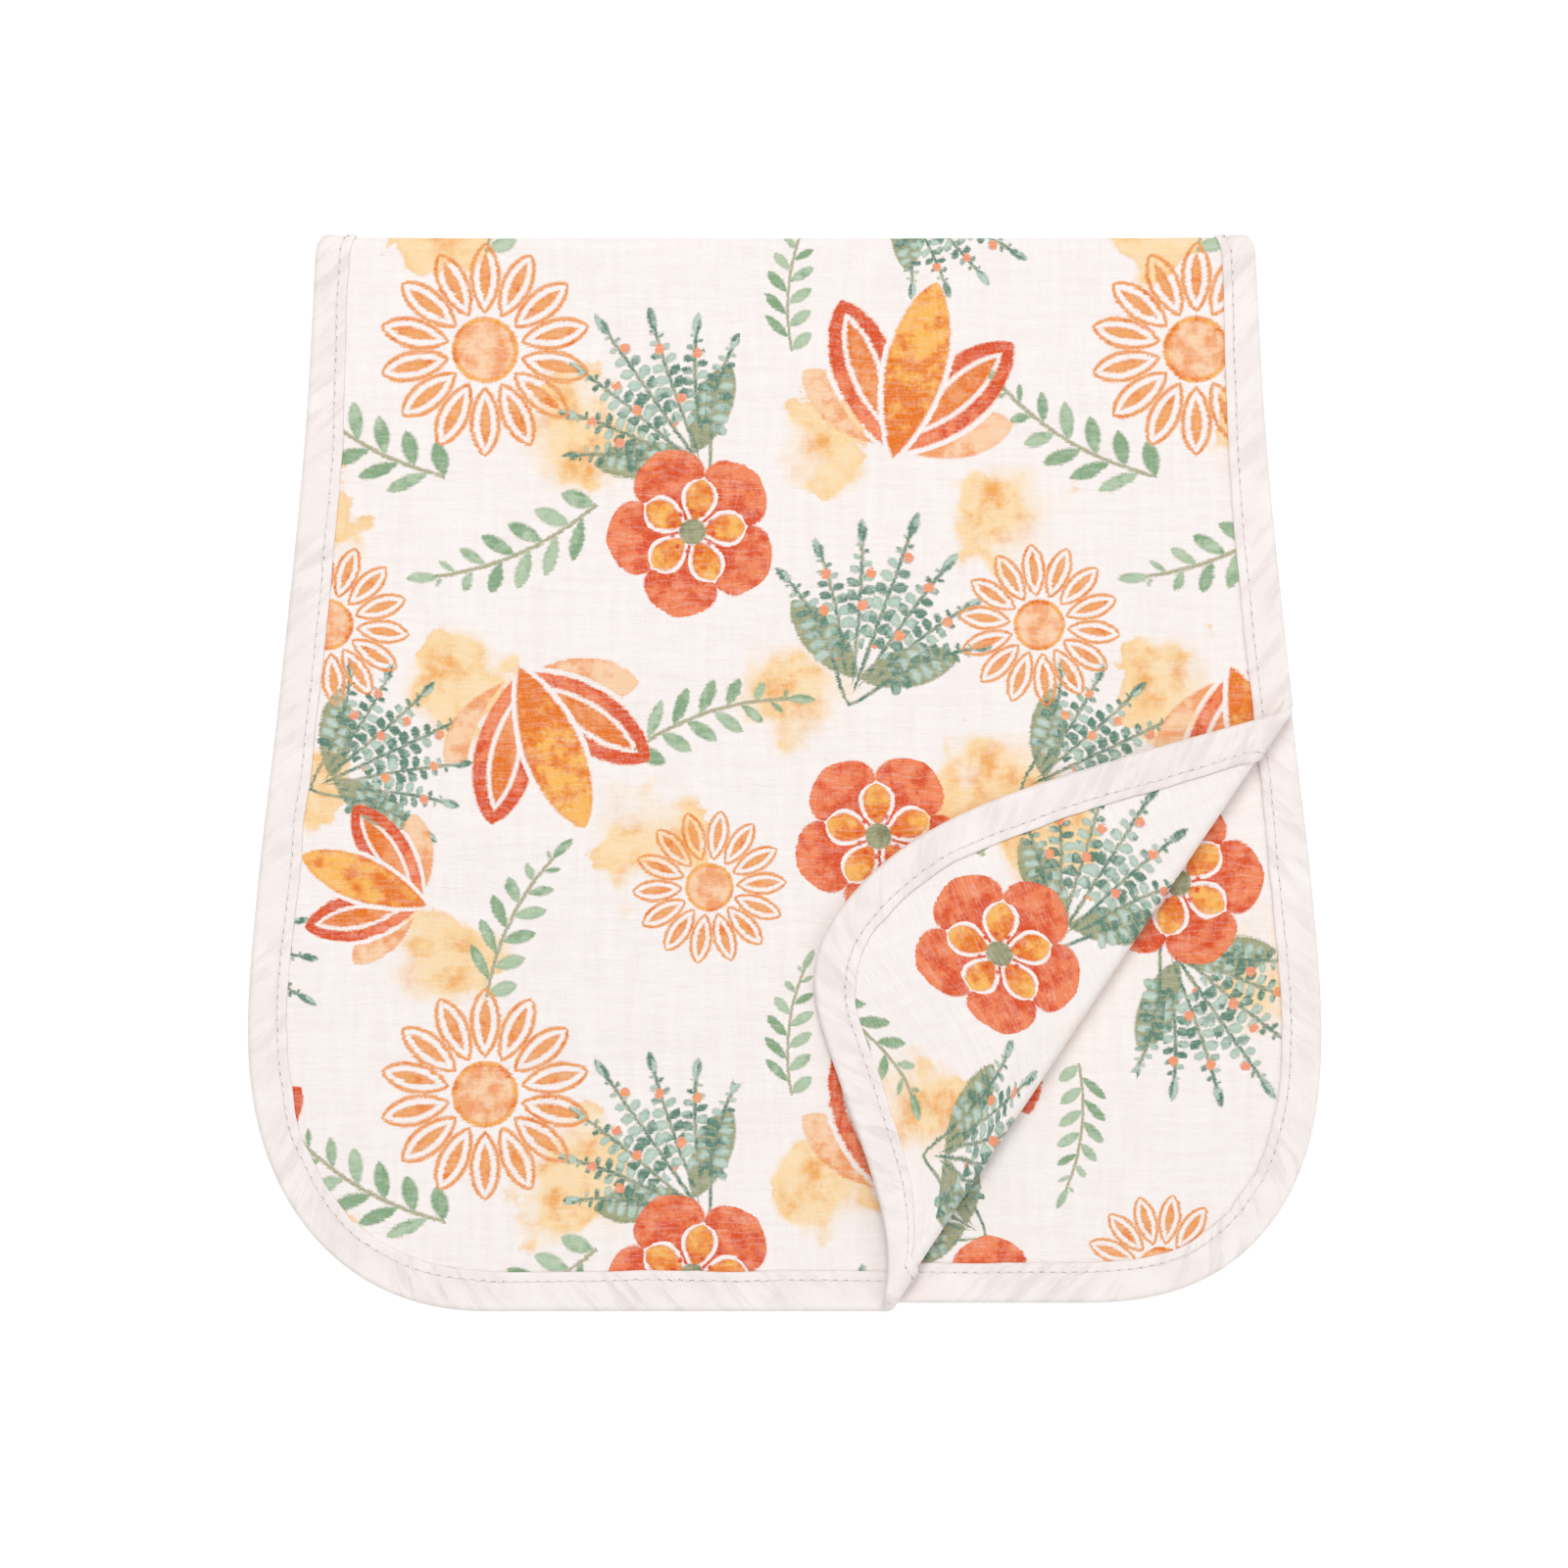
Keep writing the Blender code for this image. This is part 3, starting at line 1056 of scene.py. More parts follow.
@dataclass
class Canvas:
    """One motif being painted. A coat is a colour and its cover; each lies over the last."""

    nodes: Nodes
    brushes: Brushes
    inks: Inks
    place: Wire
    flat: Wire
    tone: Wire
    coat: Coat | None = None

    def add(self, over: Coat, apart: Wire | None = None) -> None:
        """Lay a coat over those so far.

        Args:
            over: The coat.
            apart: The depth of a shape that the coats below stay clear of, by a thin gap.
        """
        if self.coat is None:
            self.coat = over
            return
        color, cover = self.coat
        if apart is not None:
            cover = cover * (1 - self.nodes.step(apart, -0.058, -0.040))
        color = self.nodes.mix(over[1], color, over[0])
        self.coat = color, self.nodes.math("MAXIMUM", cover, over[1])

    def fill(
        self,
        depth: Wire,
        colors: Ink,
        shade: Value = 0.5,
        edge: float = 0.018,
        apart: Wire | None = None,
    ) -> None:
        """Fill a shape with paint, over the coats so far.

        Args:
            depth: How far inside the shape each place is.
            colors: The thin and the pooled paint's colour.
            shade: From 0, thin, to 1, pooled.
            edge: How soft the edge is.
            apart: As for add.
        """
        paint = self.brushes.paint
        self.add(self.nodes.use(paint, self.flat, depth, shade, *colors, edge), apart)

    def poppy(self) -> None:
        """Five round petals seen from above, five small gold ones and a dark eye."""
        nodes, inks = self.nodes, self.inks
        for turn, foot, length, width, colors in (
            (0.0, 0.14, 0.84, 0.43, inks.rust),
            (math.pi / 5, 0.10, 0.50, 0.17, inks.gold),
        ):
            (ray,) = nodes.use(self.brushes.rosette, self.place, 5.0, turn)
            depth, along = nodes.use(self.brushes.petal, ray, 0.0, foot, length, width, 1.35)
            self.fill(depth, colors, 0.95 - along * 0.7, apart=depth)
        (ray,) = nodes.use(self.brushes.rosette, self.place, 11.0, 0.2)
        self.fill(0.15 - nodes.length(self.place), inks.olive)
        self.fill(0.030 - nodes.length(nodes.vector("SUBTRACT", ray, (0, 0.23, 0))), inks.dots)

    def lotus(self) -> None:
        """Five tall petals in a fan, seen from the side. Two have a rim, a gap and a heart."""
        nodes, inks = self.nodes, self.inks
        for turn, foot, length, width, colors in (
            (-1.14, -0.60, 1.05, 0.22, inks.peach),
            (1.14, -0.60, 1.05, 0.22, inks.peach),
            (-0.58, -0.66, 1.42, 0.29, None),
            (0.58, -0.66, 1.42, 0.29, None),
            (0.0, -0.72, 1.60, 0.27, inks.gold),
        ):
            shape = (self.place, turn, foot, length, width, 1.2)
            depth, along = nodes.use(self.brushes.petal, *shape)
            if colors:
                self.fill(depth, colors, 0.95 - along * 0.8, apart=depth)
                continue
            banded = replace(self, coat=None)
            banded.fill(nodes.math("MINIMUM", depth, 0.135 - depth), inks.rust, along)
            banded.fill(depth - 0.175, inks.heart, along)
            self.add(banded.coat, depth)

    def daisy(self) -> None:
        """Many narrow petals drawn in line round a peach disc."""
        nodes, inks = self.nodes, self.inks
        (ray,) = nodes.use(self.brushes.rosette, self.place, 14.0, 0.0)
        depth, _ = nodes.use(self.brushes.petal, ray, 0.0, 0.34, 0.62, 0.135, 1.1)
        disc = 0.28 - nodes.length(self.place)
        self.fill(0.020 - abs(depth), inks.line, 0.2, 0.014)
        self.fill(depth - 0.072, inks.line, 0.2, 0.014)
        self.fill(disc, inks.peach)
        self.fill(0.022 - abs(disc), inks.gold, 0.4, 0.014)

    def fern(self) -> None:
        """One bent stem with sage leaves."""
        shape = (0.18, 0.29, 0.40, 0.082, 0.88, -0.88)
        leaf, stem, lot = self.nodes.use(self.brushes.sprig, self.place, *shape, self.tone)
        self.fill(stem, self.inks.stem, 0.5, 0.012)
        self.fill(leaf, self.inks.sage, lot)

    def posy(self) -> None:
        """Seven leafy twigs from one foot, with two broad leaves and small berries."""
        nodes, inks = self.nodes, self.inks
        for turn in (-1.05, 1.0):
            shape = (self.place, turn, -0.80, 0.98, 0.20, 1.1)
            depth, _ = nodes.use(self.brushes.petal, *shape)
            rib = nodes.step(abs(depth - 0.185), 0.03, 0.0)
            self.fill(depth, inks.olive, rib, apart=depth)
        fan, foot, outermost = 0.27, 0.95, 3.0
        x, y, _ = nodes.parts(self.place)
        up = y + foot
        angle = nodes.math("ARCTAN2", x, up)
        index = nodes.math("MAXIMUM", nodes.math("ROUND", angle / fan), -outermost)
        index = nodes.math("MINIMUM", index, outermost)
        far = nodes.length(nodes.join(x, up))
        shrink = 1.06 + abs(index) * 0.11
        aside = nodes.math("SINE", angle - index * fan) * far
        twig = nodes.join(aside, far * shrink - foot)
        shape = (index * 0.04, 0.150, 0.20, 0.072, 0.98, -0.42)
        leaf, stem, lot = nodes.use(self.brushes.sprig, twig, *shape, index + self.tone)
        self.fill(stem, inks.twig, 0.5, 0.014)
        self.fill(leaf, inks.teal, lot)
        dots = nodes.add("TexVoronoi", self.place, voronoi_dimensions="2D", feature="F1")
        dots.inputs["Scale"].default_value = 2.6
        near = nodes.step(nodes.length(self.place), 0.85, 0.75) * nodes.step(leaf, -0.16, -0.06)
        berry = 0.13 - Wire(nodes, dots.outputs["Distance"]) + (near - 1)
        self.fill(berry, inks.coral, 0.6, 0.02)

    def wash(self) -> None:
        """A loose dab of gold: crisp on one side, soft on another, with darker pools."""
        nodes, flat = self.nodes, self.flat
        edge = nodes.noise(nodes.vector("ADD", flat, (0.37, 0.21, 0.0)), 64.0, 5.0, 0.6)
        loose = nodes.noise(nodes.vector("ADD", flat, (0.11, 0.53, 0.0)), 46.0)
        loose = nodes.step(loose, 0.42, 0.60)
        depth = 0.68 - nodes.length(self.place) + (edge - 0.5) * 1.3
        cover = nodes.step(depth, 0.0, 0.07 + loose * 0.60)
        pool = nodes.noise(flat, 115.0, 4.0, 0.66)
        pooled = nodes.step(pool, 0.42, 0.68) * nodes.step(depth, 0.0, 0.5)
        rim = nodes.step(depth, 0.14, 0.03) * nodes.step(depth, -0.03, 0.03) * (1 - loose)
        share = nodes.math("ADD", pooled, rim * 0.40, clamp=True)
        strength = nodes.math("ADD", 0.50, pool * 0.66, clamp=True)
        self.add((nodes.mix(share, *self.inks.wash), cover * strength))


def print_nodes(nodes: Nodes, color: Wire, flat: Wire, jolt: Wire) -> tuple[Wire, ...]:
    """Lay the washes, then the sprigs, then the blooms.

    Args:
        nodes: Where the nodes go.
        color: The bare cloth's colour.
        flat: The place on the flat cloth.
        jolt: How far the threads put the paint out of place.

    Returns:
        The printed cloth's colour, alone.
    """
    brushes, inks = Brushes(), Inks()
    for layer, motifs in (
        ("wash", (Motif.WASH,)),
        ("sprig", (Motif.FERN, Motif.POSY)),
        ("bloom", (Motif.POPPY, Motif.LOTUS, Motif.DAISY)),
    ):
        place = nodes.stored(layer)
        tone = nodes.parts(place)[2]
        place = nodes.vector("ADD", place, nodes.join(jolt, jolt))
        kind = nodes.stored(layer + "_kind", "Fac")
        for motif in motifs:
            name = motif.name.lower()

            def body(inner: Nodes, *given: Wire) -> Coat:
                """Paint this motif on a canvas of its own.

                Args:
                    inner: Where the nodes go.
                    *given: The place on the motif, that on the cloth, and the tone.

                Returns:
                    The colour and its cover.
                """
                canvas = Canvas(inner, brushes, inks, *given)
                getattr(canvas, name)()
                return canvas.coat

            inputs = "Place:vector Flat:vector Tone"
            motif_group = make_group("motif_" + name, inputs, "Color:color Cover", body)
            painted, cover = nodes.use(motif_group, place, flat, tone)
            ours = nodes.math("COMPARE", kind, float(motif), 0.3)
            color = nodes.mix(cover * ours, color, painted)
    return (color,)


def weave_nodes(nodes: Nodes, flat: Wire, count: Wire, slub: Wire) -> tuple[Wire, ...]:
    """Two sets of threads, uneven in thickness, with slow streaks of slub.

    Args:
        nodes: Where the nodes go.
        flat: The place on the flat cloth.
        count: The threads in a metre, each way.
        slub: How much stronger the threads that run across are than the others.

    Returns:
        The height of the threads and the streaks, each from about 0 to 1.
    """
    x, y, z = nodes.parts(flat)
    wander = (nodes.noise(flat, 150.0) - 0.5) * 0.0022
    heights = []
    for place, other in ((x, y), (y, x)):
        at = (place + wander) * count
        thread = nodes.noise(nodes.join(at, other * 160.0, z), 0.9, 2.0, 0.6)
        wave = nodes.math("SINE", at * (2 * math.pi))
        heights.append(nodes.step(thread, 0.30, 0.70) + wave * 0.10)
    streaks = [
        nodes.noise(nodes.join(x * across, y * along, z), 1.0, 3.0)
        for across, along in ((420.0, 50.0), (60.0, 620.0))
    ]
    height = (heights[0] + heights[1] * slub) / (slub + 1)
    return height, (streaks[0] + streaks[1]) * 0.5


def new_material(name: str) -> tuple[bpy.types.Material, Nodes, bpy.types.Node]:
    """A material with its own Principled shader.

    Args:
        name: The material's name.

    Returns:
        The material, its nodes and its shader.
    """
    material = bpy.data.materials.new(name)
    material.use_nodes = True
    return material, Nodes(material.node_tree), material.node_tree.nodes["Principled BSDF"]


@dataclass(frozen=True)
class WovenCotton:
    """What the finishes of the muslin and the tape share."""

    weave: bpy.types.NodeTree
    name: str
    pale: Color
    shaded: Color
    threads: float
    slub: float
    roughness: float
    worn: float
    sheen: float
    bump: float
    depth: float

    def paint(self, nodes: Nodes, flat: Wire, height: Wire, streak: Wire) -> tuple[Wire, Wire]:
        """Colour the cloth.

        Args:
            nodes: Where the nodes go.
            flat: The place on the flat cloth.
            height: The threads' height.
            streak: The slow streaks.

        Returns:
            The colour, and the height that raises the surface.
        """
        raise NotImplementedError

    def material(self) -> bpy.types.Material:
        """Build the material.

        Returns:
            The material.
        """
        material, nodes, shader = new_material(self.name)
        flat = nodes.stored("flat")
        height, streak = nodes.use(self.weave, flat, self.threads, self.slub)
        color, relief = self.paint(nodes, flat, height, streak)
        bump = nodes.add("Bump")
        for socket, value in (
            (shader.inputs["Base Color"], color),
            (shader.inputs["Roughness"], self.roughness - height * self.worn),
            (shader.inputs["Sheen Weight"], self.sheen),
            (shader.inputs["Specular IOR Level"], 0.25),
            (shader.inputs["Normal"], Wire(nodes, bump.outputs["Normal"])),
            (bump.inputs["Strength"], self.bump),
            (bump.inputs["Distance"], self.depth),
            (bump.inputs["Height"], relief),
        ):
            nodes.feed(socket, value)
        return material


@dataclass(frozen=True)
class PrintedMuslin(WovenCotton):
    """Off-white open-weave cotton with the print on both faces."""

    name: str = "printed_muslin"
    pale: Color = linear(251, 244, 241)
    shaded: Color = linear(246, 237, 233)
    threads: float = 1500.0
    slub: float = 2.2
    roughness: float = 0.92
    worn: float = 0.06
    sheen: float = 0.12
    bump: float = 0.6
    depth: float = 0.00020
    jolt: float = 0.019
    bare: float = 0.15

    def paint(self, nodes: Nodes, flat: Wire, height: Wire, streak: Wire) -> tuple[Wire, Wire]:
        """Print the cloth, each thread a little out of place and the gaps left paler.

        Args:
            nodes: Where the nodes go.
            flat: The place on the flat cloth.
            height: The threads' height.
            streak: The slow streaks.

        Returns:
            The colour, and the height that raises the surface.
        """
        cloth = nodes.mix(nodes.step(streak, 0.30, 0.70), self.shaded, self.pale)
        inputs = "Cloth:color Flat:vector Jolt"
        design = make_group("muslin_print", inputs, "Color:color", print_nodes)
        (printed,) = nodes.use(design, cloth, flat, (height - 0.5) * self.jolt)
        gaps = (1 - nodes.step(height, 0.10, 0.60)) * self.bare
        return nodes.mix(gaps, printed, self.pale), height


@dataclass(frozen=True)
class TapeCotton(WovenCotton):
    """Plain white cotton tape, closer woven than the muslin, with slanting wrinkles whose hollows
    have shade painted in.
    """

    name: str = "binding_cotton"
    pale: Color = linear(250, 242, 239)
    shaded: Color = linear(243, 233, 230)
    threads: float = 2600.0
    slub: float = 1.0
    roughness: float = 0.85
    worn: float = 0.05
    sheen: float = 0.10
    bump: float = 0.4
    depth: float = 0.00008
    # Painted shade in the wrinkles' hollows: its colour and how strongly it covers.
    shaded_hollow: Color = linear(229, 219, 216)
    hollow_shade_cover: float = 0.62
    hollow_rise: float = -5.0
    slant: float = 0.9

    def paint(self, nodes: Nodes, flat: Wire, height: Wire, streak: Wire) -> tuple[Wire, Wire]:
        """Shade the cloth in patches, and paint shade into the wrinkles' hollows, which also
        sink.

        Args:
            nodes: Where the nodes go.
            flat: The place on the flat cloth.
            height: The threads' height.
            streak: The slow streaks.

        Returns:
            The colour, and the height that raises the surface.
        """
        share = streak * 0.4 + nodes.noise(flat, 90.0, 3.0)
        cloth = nodes.mix(nodes.step(share, 0.4, 0.95), self.shaded, self.pale)
        run, inset, face = nodes.parts(nodes.stored("tape"))
        skew = run - inset * self.slant
        pulled = nodes.noise(nodes.join(skew * 260.0, inset * 85.0, face), 1.0, 3.0, 0.55)
        patch = nodes.noise(nodes.join(run * 42.0, 0.0, face), 1.0, 1.0)
        # Painted shade: the wrinkles' hollows are darkened in colour, in patches, as well as
        # sunk.
        shaded_hollow = nodes.step(pulled, 0.56, 0.36) * nodes.step(patch, 0.30, 0.62)
        color = nodes.mix(shaded_hollow * self.hollow_shade_cover, cloth, self.shaded_hollow)
        return color, height + shaded_hollow * self.hollow_rise


@dataclass(frozen=True)
class StitchThread:
    """White sewing thread, with shade painted grey at its sunk ends, more on some stitches than
    on others.
    """

    pale: Color = linear(246, 239, 236)
    sunk_end_shade: Color = linear(96, 91, 95)

    def material(self) -> bpy.types.Material:
        """Build the material.

        Returns:
            The material.
        """
        material, nodes, shader = new_material("stitch_thread")
        x, y, sunk = nodes.parts(nodes.stored("thread"))
        # Painted shade where the thread's ends sink into the tape.
        end = nodes.step(abs(x), 0.62, 0.84) * (sunk * 0.75 + 0.25)
        twist = (nodes.math("SINE", x * 16.0 + y) + 1) * 0.05
        share = nodes.math("ADD", end, twist, clamp=True)
        nodes.feed(shader.inputs["Base Color"], nodes.mix(share, self.pale, self.sunk_end_shade))
        nodes.feed(shader.inputs["Roughness"], 0.6 + twist * 0.8)
        return material


@dataclass
class MuslinPanel:
    """The printed muslin: one closed sheet, folded."""

    cut: FlatCut
    folding: Folding
    columns: int = 124
    pitch: float = 0.0021
    fold_steps: int = 14
    crease_steps: int = 12
    crinkle: float = 0.00024

    def rows(self, length: float, right_power: float, inset: float) -> np.ndarray:
        """Where one half of the cloth ends to the right and left, row by row from the fold.

        Args:
            length: The flat length of the half.
            right_power: The power of its corner on the right.
            inset: How far the muslin stops short of the cut edge.

        Returns:
            Rows of the reach to the right and to the left, and the distance from the fold.
        """
        steps = self.fold_steps // 2
        arc = self.cut.half_arc * np.arange(1, steps + 1) / steps
        wide = self.cut.side_at(arc) - inset - self.cut.drawn_in(arc)
        left = self.cut.quarter(length, self.cut.corner_power, self.pitch, inset)
        right = self.cut.quarter(length, right_power, self.pitch, inset)
        left = left[left[:, 1] > self.cut.half_arc + self.pitch / 3]
        reach = np.interp(left[:, 1], right[:, 1], right[:, 0])
        reach[-1] = left[-1, 0]
        edge = np.column_stack([reach, left[:, :2]])
        return np.concatenate([np.column_stack([wide, wide, arc]), edge])

    def flat_points(self) -> tuple[np.ndarray, list[list[int]]]:
        """The flat sheet as a closed box of small faces.

        Returns:
            Its points and its faces.
        """
        inset = self.cut.tape + self.cut.clearance
        front = self.rows(self.cut.front_length, self.cut.corner_power, inset)
        back = self.rows(self.cut.back_length, self.cut.squarer_power, inset) * (1, 1, -1)
        fold = np.zeros(1)
        wide = self.cut.side_at(fold) - inset - self.cut.drawn_in(fold)
        rows = np.concatenate([back[::-1], np.column_stack([wide, wide, fold]), front])
        share = np.linspace(-1, 1, self.columns + 1)
        across = np.where(share > 0, rows[:, :1] * share, rows[:, 1:2] * share)
        along = np.broadcast_to(rows[:, 2:], across.shape)
        sheet = np.column_stack([across.ravel(), along.ravel()])
        half = self.cut.half_muslin
        points = np.concatenate(
            [np.column_stack([sheet, np.full(len(sheet), rise)]) for rise in (half, -half)]
        )
        under = len(sheet)
        grid = np.arange(under).reshape(across.shape)
        cells = np.stack([grid[:-1, :-1], grid[:-1, 1:], grid[1:, 1:], grid[1:, :-1]], 2)
        cells = cells.reshape(-1, 4)
        ends = (grid[0], grid[1:, -1], grid[-1, -2::-1], grid[-2:0:-1, 0])
        rim = np.concatenate(ends)
        after = np.roll(rim, -1)
        walls = np.stack([after, rim, under + rim, under + after], 1)
        return points, np.concatenate([cells, under + cells[:, ::-1], walls]).tolist()

    def build(self, material: bpy.types.Material, design: Print) -> bpy.types.Object:
        """Cut, print and fold the muslin.

        Args:
            material: Its finish.
            design: The print.

        Returns:
            The piece.
        """
        points, faces = self.flat_points()
        piece = new_piece("printed_muslin_sheet", points, faces)
        score(piece, self.folding.crease_lines(self.crease_steps))
        mesh = piece.data
        flat = points_of(mesh)
        keep(mesh, "flat", "POINT", flat)
        design.lay_on(mesh, flat)
        folded = self.folding.fold(flat)
        inside = self.folding.inside(flat[:, 0], flat[:, 1])
        fine = Unevenness(Seed.FINE_CRINKLE, (0.013, 0.0056)).at(flat[:, 0], flat[:, 1])
        broad = Unevenness(Seed.BROAD_CRINKLE, (0.019, 0.013)).at(flat[:, 0], flat[:, 1])
        lift = self.crinkle * (fine + 1.4 * broad) * inside
        under = flat[:, 1] < self.cut.half_arc
        folded[:, 2] += np.where(under, np.abs(lift) * 0.5, lift)
        return finish(piece, folded, material)


@dataclass
class EdgeBinding:
    """The bias tape round the whole edge: a closed ring with a C-shaped section."""

    cut: FlatCut
    folding: Folding
    pitch: float = 0.0011
    crease_steps: int = 12
    pucker: float = 0.00062
    deepest: float = 0.00050
    round_points: int = 7
    bend: float = 0.0013
    slant: float = 0.9

    def section(self) -> np.ndarray:
        """The tape's section: inset from the cut edge, and rise.

        Returns:
            Rows of inset and rise, once round.
        """
        cut = self.cut
        leg = cut.half_bound - cut.tape
        angles = np.linspace(QUARTER_TURN, -QUARTER_TURN, self.round_points + 2)
        across, up = self.bend * (1 - np.cos(angles)), cut.half_bound * np.sin(angles)
        outer = np.column_stack([across, up])
        insets = (1.00, 0.97, 0.91, 0.85, 0.78, 0.71, 0.61, 0.51, 0.41, 0.30, 0.20)
        rises = (0.80, 0.96, 0.99, 0.97, 0.89, 0.97, 1.00, 1.00, 1.00, 1.00, 1.00)
        above = np.column_stack([insets, rises]) * (cut.binding_width, cut.half_bound)
        below = above[::-1] * (1, -1)
        leg_insets = np.array((cut.binding_width, cut.tape * 1.2, cut.tape))
        under = np.column_stack([leg_insets, (-leg, -leg, 0.0)])
        over = under[1::-1] * (1, -1)
        return np.concatenate([above, outer, below, under, over])

    def sunk(self, run: np.ndarray, inset: np.ndarray, corner: np.ndarray) -> np.ndarray:
        """How deep the puckers are, slanting across the tape.

        Args:
            run: The way gone round the edge.
            inset: The distances from the edge.
            corner: 0 where the edge is straight, 1 halfway round a corner.

        Returns:
            The depths in metres.
        """
        skew = run - inset * self.slant
        line = Unevenness(Seed.PUCKER_LINES, (0.0042, 1.0)).at(skew, inset * 0)
        patch = Unevenness(Seed.PUCKER_PATCHES, (0.012, 0.005)).at(skew, inset)
        fine = Unevenness(Seed.FINE_PUCKERS, (0.0025, 0.0036)).at(skew, inset)
        depth = np.clip(0.35 + 0.45 * corner + 0.6 * patch, 0, 1.2)
        sunk = depth * (np.exp(-((line / 0.36) ** 2)) + 0.30 * fine) + 0.2 * (1 - patch)
        reach = smooth(inset / 0.003) * (1 - 0.75 * smooth((inset - 0.0060) / 0.0018))
        return np.clip(self.pucker * sunk, 0, self.deepest) * reach

    def build(self, material: bpy.types.Material) -> bpy.types.Object:
        """Lay the tape flat round the edge, pucker it and fold it.

        Args:
            material: Its finish.

        Returns:
            The piece.
        """
        cut = self.cut
        outline = cut.outline(self.pitch)
        section = self.section()
        inset, level = section[None, :, 0], section[None, :, 1]
        run = cut.run_along(outline)[:, None]
        corner = 4 * (outline[:, 2] * outline[:, 3])[:, None] ** 2
        spread = cut.bound_width(outline)[:, None] / cut.binding_width - 1
        inset = inset * (1 + spread * smooth(inset / 0.006))
        ripple = Unevenness(Seed.RIPPLE, (0.0034, 1.0)).at(run, run * 0)
        ripple = ripple * (0.00012 + 0.00018 * corner)
        inset = inset + ripple * smooth((inset - 0.0076) / 0.0016)
        place = outline[:, None, :2] - outline[:, None, 2:] * inset[..., None]
        outer = np.abs(level) > cut.half_bound * 0.9
        rise = level - np.sign(level) * outer * self.sunk(run, inset, corner)
        points = np.concatenate([place, rise[..., None]], axis=2).reshape(-1, 3)
        here = np.arange(rise.size).reshape(rise.shape)
        after, beside = np.roll(here, -1, axis=0), np.roll(here, -1, axis=1)
        faces = np.stack([here, beside, np.roll(after, -1, axis=1), after], 2).reshape(-1, 4)
        piece = new_piece("bias_binding", points, faces.tolist())
        along_edge = np.stack(np.broadcast_arrays(run, inset, np.sign(rise)), axis=2)
        keep(piece.data, "tape", "POINT", along_edge)
        score(piece, self.folding.crease_lines(self.crease_steps))
        flat = points_of(piece.data)
        keep(piece.data, "flat", "POINT", flat)
        folded = self.folding.fold(flat)
        folded[:, 2] = np.maximum(folded[:, 2], 0.0)
        return finish(piece, folded, material)


@dataclass
class Topstitching:
    """The row of stitches along the binding's inner edge, on both faces."""

    cut: FlatCut
    folding: Folding
    from_inner_edge: float = 0.0022
    pitch: float = 0.0026
    length: float = 0.0025
    thickness: float = 0.00046
    crooked: float = 0.05
    bedded: float = 0.93

    def one_stitch(self) -> tuple[np.ndarray, list[list[int]]]:
        """Model one stitch at the origin, lying along X.

        Returns:
            Its points, from -1 to 1 each way, and its faces.
        """
        bpy.ops.object.select_all(action="DESELECT")
        bpy.ops.mesh.primitive_uv_sphere_add(segments=8, ring_count=5, radius=1.0)
        ball = bpy.context.active_object
        bpy.ops.object.mode_set(mode="EDIT")
        bpy.ops.mesh.select_all(action="SELECT")
        bpy.ops.transform.rotate(value=QUARTER_TURN, orient_axis="Y", center_override=(0, 0, 0))
        bpy.ops.object.mode_set(mode="OBJECT")
        points = points_of(ball.data)
        # Squarer than an oval, as a pulled thread is.
        points[:, 0] = np.sign(points[:, 0]) * np.abs(points[:, 0]) ** 0.8
        # Laid on the seam a stitch is mirrored, so its faces are turned over here. The ball's
        # faces also come in another order on each run, so they are sorted.
        turned = [list(face.vertices)[::-1] for face in ball.data.polygons]
        starts = [face.index(min(face)) for face in turned]
        bpy.data.meshes.remove(ball.data)
        return points, sorted(face[at:] + face[:at] for face, at in zip(turned, starts))

    def build(self, material: bpy.types.Material) -> bpy.types.Object:
        """Copy the stitch along the seam and fold the row with the cloth.

        Args:
            material: Its finish.

        Returns:
            The piece.
        """
        stitch, stitch_faces = self.one_stitch()
        outline = self.cut.outline(self.pitch / 6)
        inset = self.cut.bound_width(outline)[:, None] - self.from_inner_edge
        seam = outline[:, :2] - outline[:, 2:] * inset
        closed = np.concatenate([seam, seam[:1]])
        steps = np.linalg.norm(np.diff(closed, axis=0), axis=1)
        reach = np.concatenate([[0], np.cumsum(steps)])
        number = round(reach[-1] / self.pitch)
        half_length, half = self.length / 2, self.thickness / 2
        wobble = np.random.default_rng(Seed.STITCHES)
        points, faces, local = [], [], []
        for index, side in itertools.product(range(number), (1, -1)):
            middle = reach[-1] * (index + 0.25 * (1 - side)) / number
            spots = middle + half_length * np.array((-1, 0, 1))
            ends = [np.interp(spots, reach, axis, period=reach[-1]) for axis in closed.T]
            first, centre, last = np.column_stack(ends)
            run = (last - first) / self.length
            run = run + np.array((-run[1], run[0])) * wobble.normal(0, self.crooked)
            out = np.array((run[1], -run[0]))
            level = centre + run * stitch[:, :1] * half_length + out * stitch[:, 1:2] * half
            height = side * self.cut.half_bound * self.bedded + stitch[:, 2] * half * 0.8
            start = len(points) * len(stitch)
            faces += [[start + corner for corner in face] for face in stitch_faces]
            points.append(np.column_stack([level, height]))
            # How much painted shade this stitch's sunk ends get.
            sunk_end_shade = np.full(len(stitch), wobble.uniform())
            local.append(np.column_stack([stitch[:, :2], sunk_end_shade]))
        flat = np.concatenate(points)
        folded = self.folding.fold(flat)
        folded[:, 2] = np.maximum(folded[:, 2], 0.0)
        piece = new_piece("topstitching", folded, faces)
        keep(piece.data, "thread", "POINT", np.concatenate(local))
        return finish(piece, folded, material)


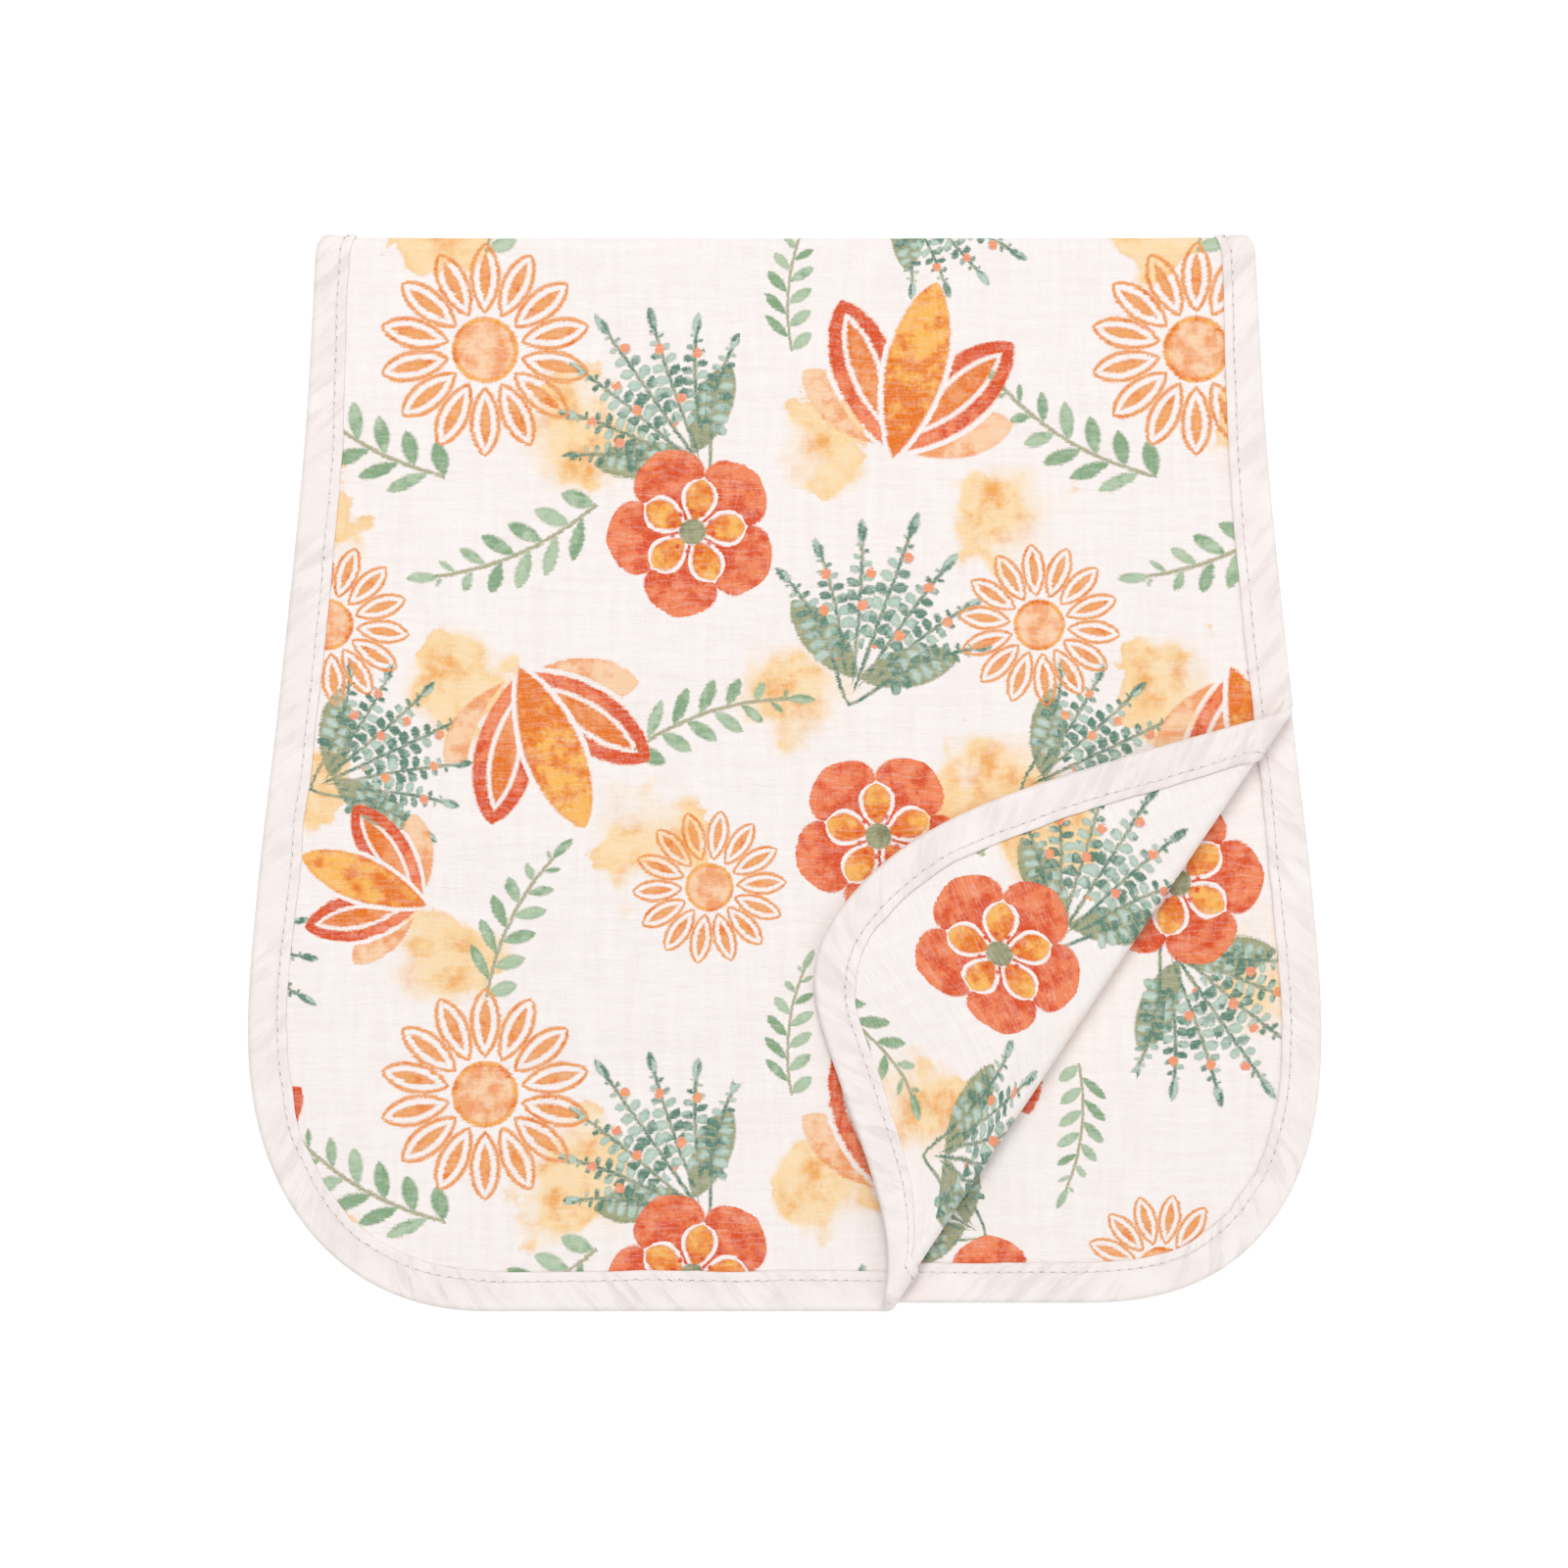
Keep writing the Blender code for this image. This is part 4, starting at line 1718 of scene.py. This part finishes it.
@dataclass(frozen=True)
class Studio:
    """A pale floor, soft light and a camera straight above."""

    shown_width: float = 0.3705
    aim: tuple[float, float] = (-0.00035, -0.0028)
    focus_height: float = 0.005
    distance: float = 1.2
    sensor: float = 36.0
    ambient: float = 0.48
    backdrop: float = 0.6
    floor_size: float = 6.0
    floor_drop: float = 0.0001
    floor_tone: float = 0.25
    floor_glow: float = 0.86
    key: tuple[float, ...] = (-0.15, 0.70, 1.70, 1.0, 16.5)
    fill: tuple[float, ...] = (1.2, -0.8, 1.6, 2.0, 10.5)

    def camera(self) -> None:
        """Look straight down, with +Y up the picture."""
        data = bpy.data.cameras.new("camera")
        data.sensor_width = self.sensor
        data.lens = self.sensor * self.distance / self.shown_width
        camera = bpy.data.objects.new("camera", data)
        camera.location = (*self.aim, self.focus_height + self.distance)
        bpy.context.scene.collection.objects.link(camera)
        bpy.context.scene.camera = camera

    def floor(self) -> None:
        """A wide pale floor."""
        bpy.ops.object.select_all(action="DESELECT")
        below = (0, 0, -self.floor_drop)
        bpy.ops.mesh.primitive_plane_add(size=self.floor_size, location=below)
        floor = bpy.context.active_object
        floor.name = "floor"
        material, _, shader = new_material("pale_floor")
        shader.inputs["Base Color"].default_value = (*[self.floor_tone] * 3, 1)
        shader.inputs["Roughness"].default_value = 0.9
        shader.inputs["Emission Color"].default_value = (1, 1, 1, 1)
        shader.inputs["Emission Strength"].default_value = self.floor_glow
        floor.data.materials.append(material)

    def light(self, name: str) -> None:
        """A square soft light that looks at the cloth.

        Args:
            name: The field that holds its place, its side and its power in watts.
        """
        *place, size, power = getattr(self, name)
        data = bpy.data.lights.new(name, "AREA")
        data.size = size
        data.energy = power
        lamp = bpy.data.objects.new(name, data)
        lamp.location = place
        lamp.rotation_euler = Vector(place).to_track_quat("Z", "Y").to_euler()
        bpy.context.scene.collection.objects.link(lamp)

    def build(self) -> None:
        """Set up the whole studio."""
        self.camera()
        self.floor()
        self.light("key")
        self.light("fill")
        world = bpy.data.worlds.new("studio")
        world.use_nodes = True
        nodes = Nodes(world.node_tree)
        shader = world.node_tree.nodes["Background"]
        shader.inputs["Color"].default_value = (1, 1, 1, 1)
        seen = Wire(nodes, nodes.add("LightPath").outputs["Is Camera Ray"])
        nodes.feed(shader.inputs["Strength"], self.ambient + seen * self.backdrop)
        scene = bpy.context.scene
        scene.world = world
        scene.view_settings.view_transform = "Standard"
        scene.view_settings.look = "None"


def main() -> None:
    """Build the studio and every piece, log their faces, and hide the imported muslin panel and
    edge binding.
    """
    logging.basicConfig(level=logging.INFO, format="%(name)s: %(message)s")
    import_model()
    Studio().build()
    cut = FlatCut()
    folding = Folding(cut)
    weave = make_group("woven_threads", "Flat:vector Count Slub", "Height Streak", weave_nodes)
    panel = MuslinPanel(cut, folding).build(PrintedMuslin(weave).material(), Print())
    binding = EdgeBinding(cut, folding).build(TapeCotton(weave).material())
    stitches = Topstitching(cut, folding).build(StitchThread().material())
    for piece in (panel, binding, stitches):
        LOG.info("%s: %d faces", piece.name, len(piece.data.polygons))
        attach(piece, "root")
    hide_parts("muslin_panel")
    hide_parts("edge_binding")
    cut.front_length + cut.back_length


if __name__ == "__main__":
    main()
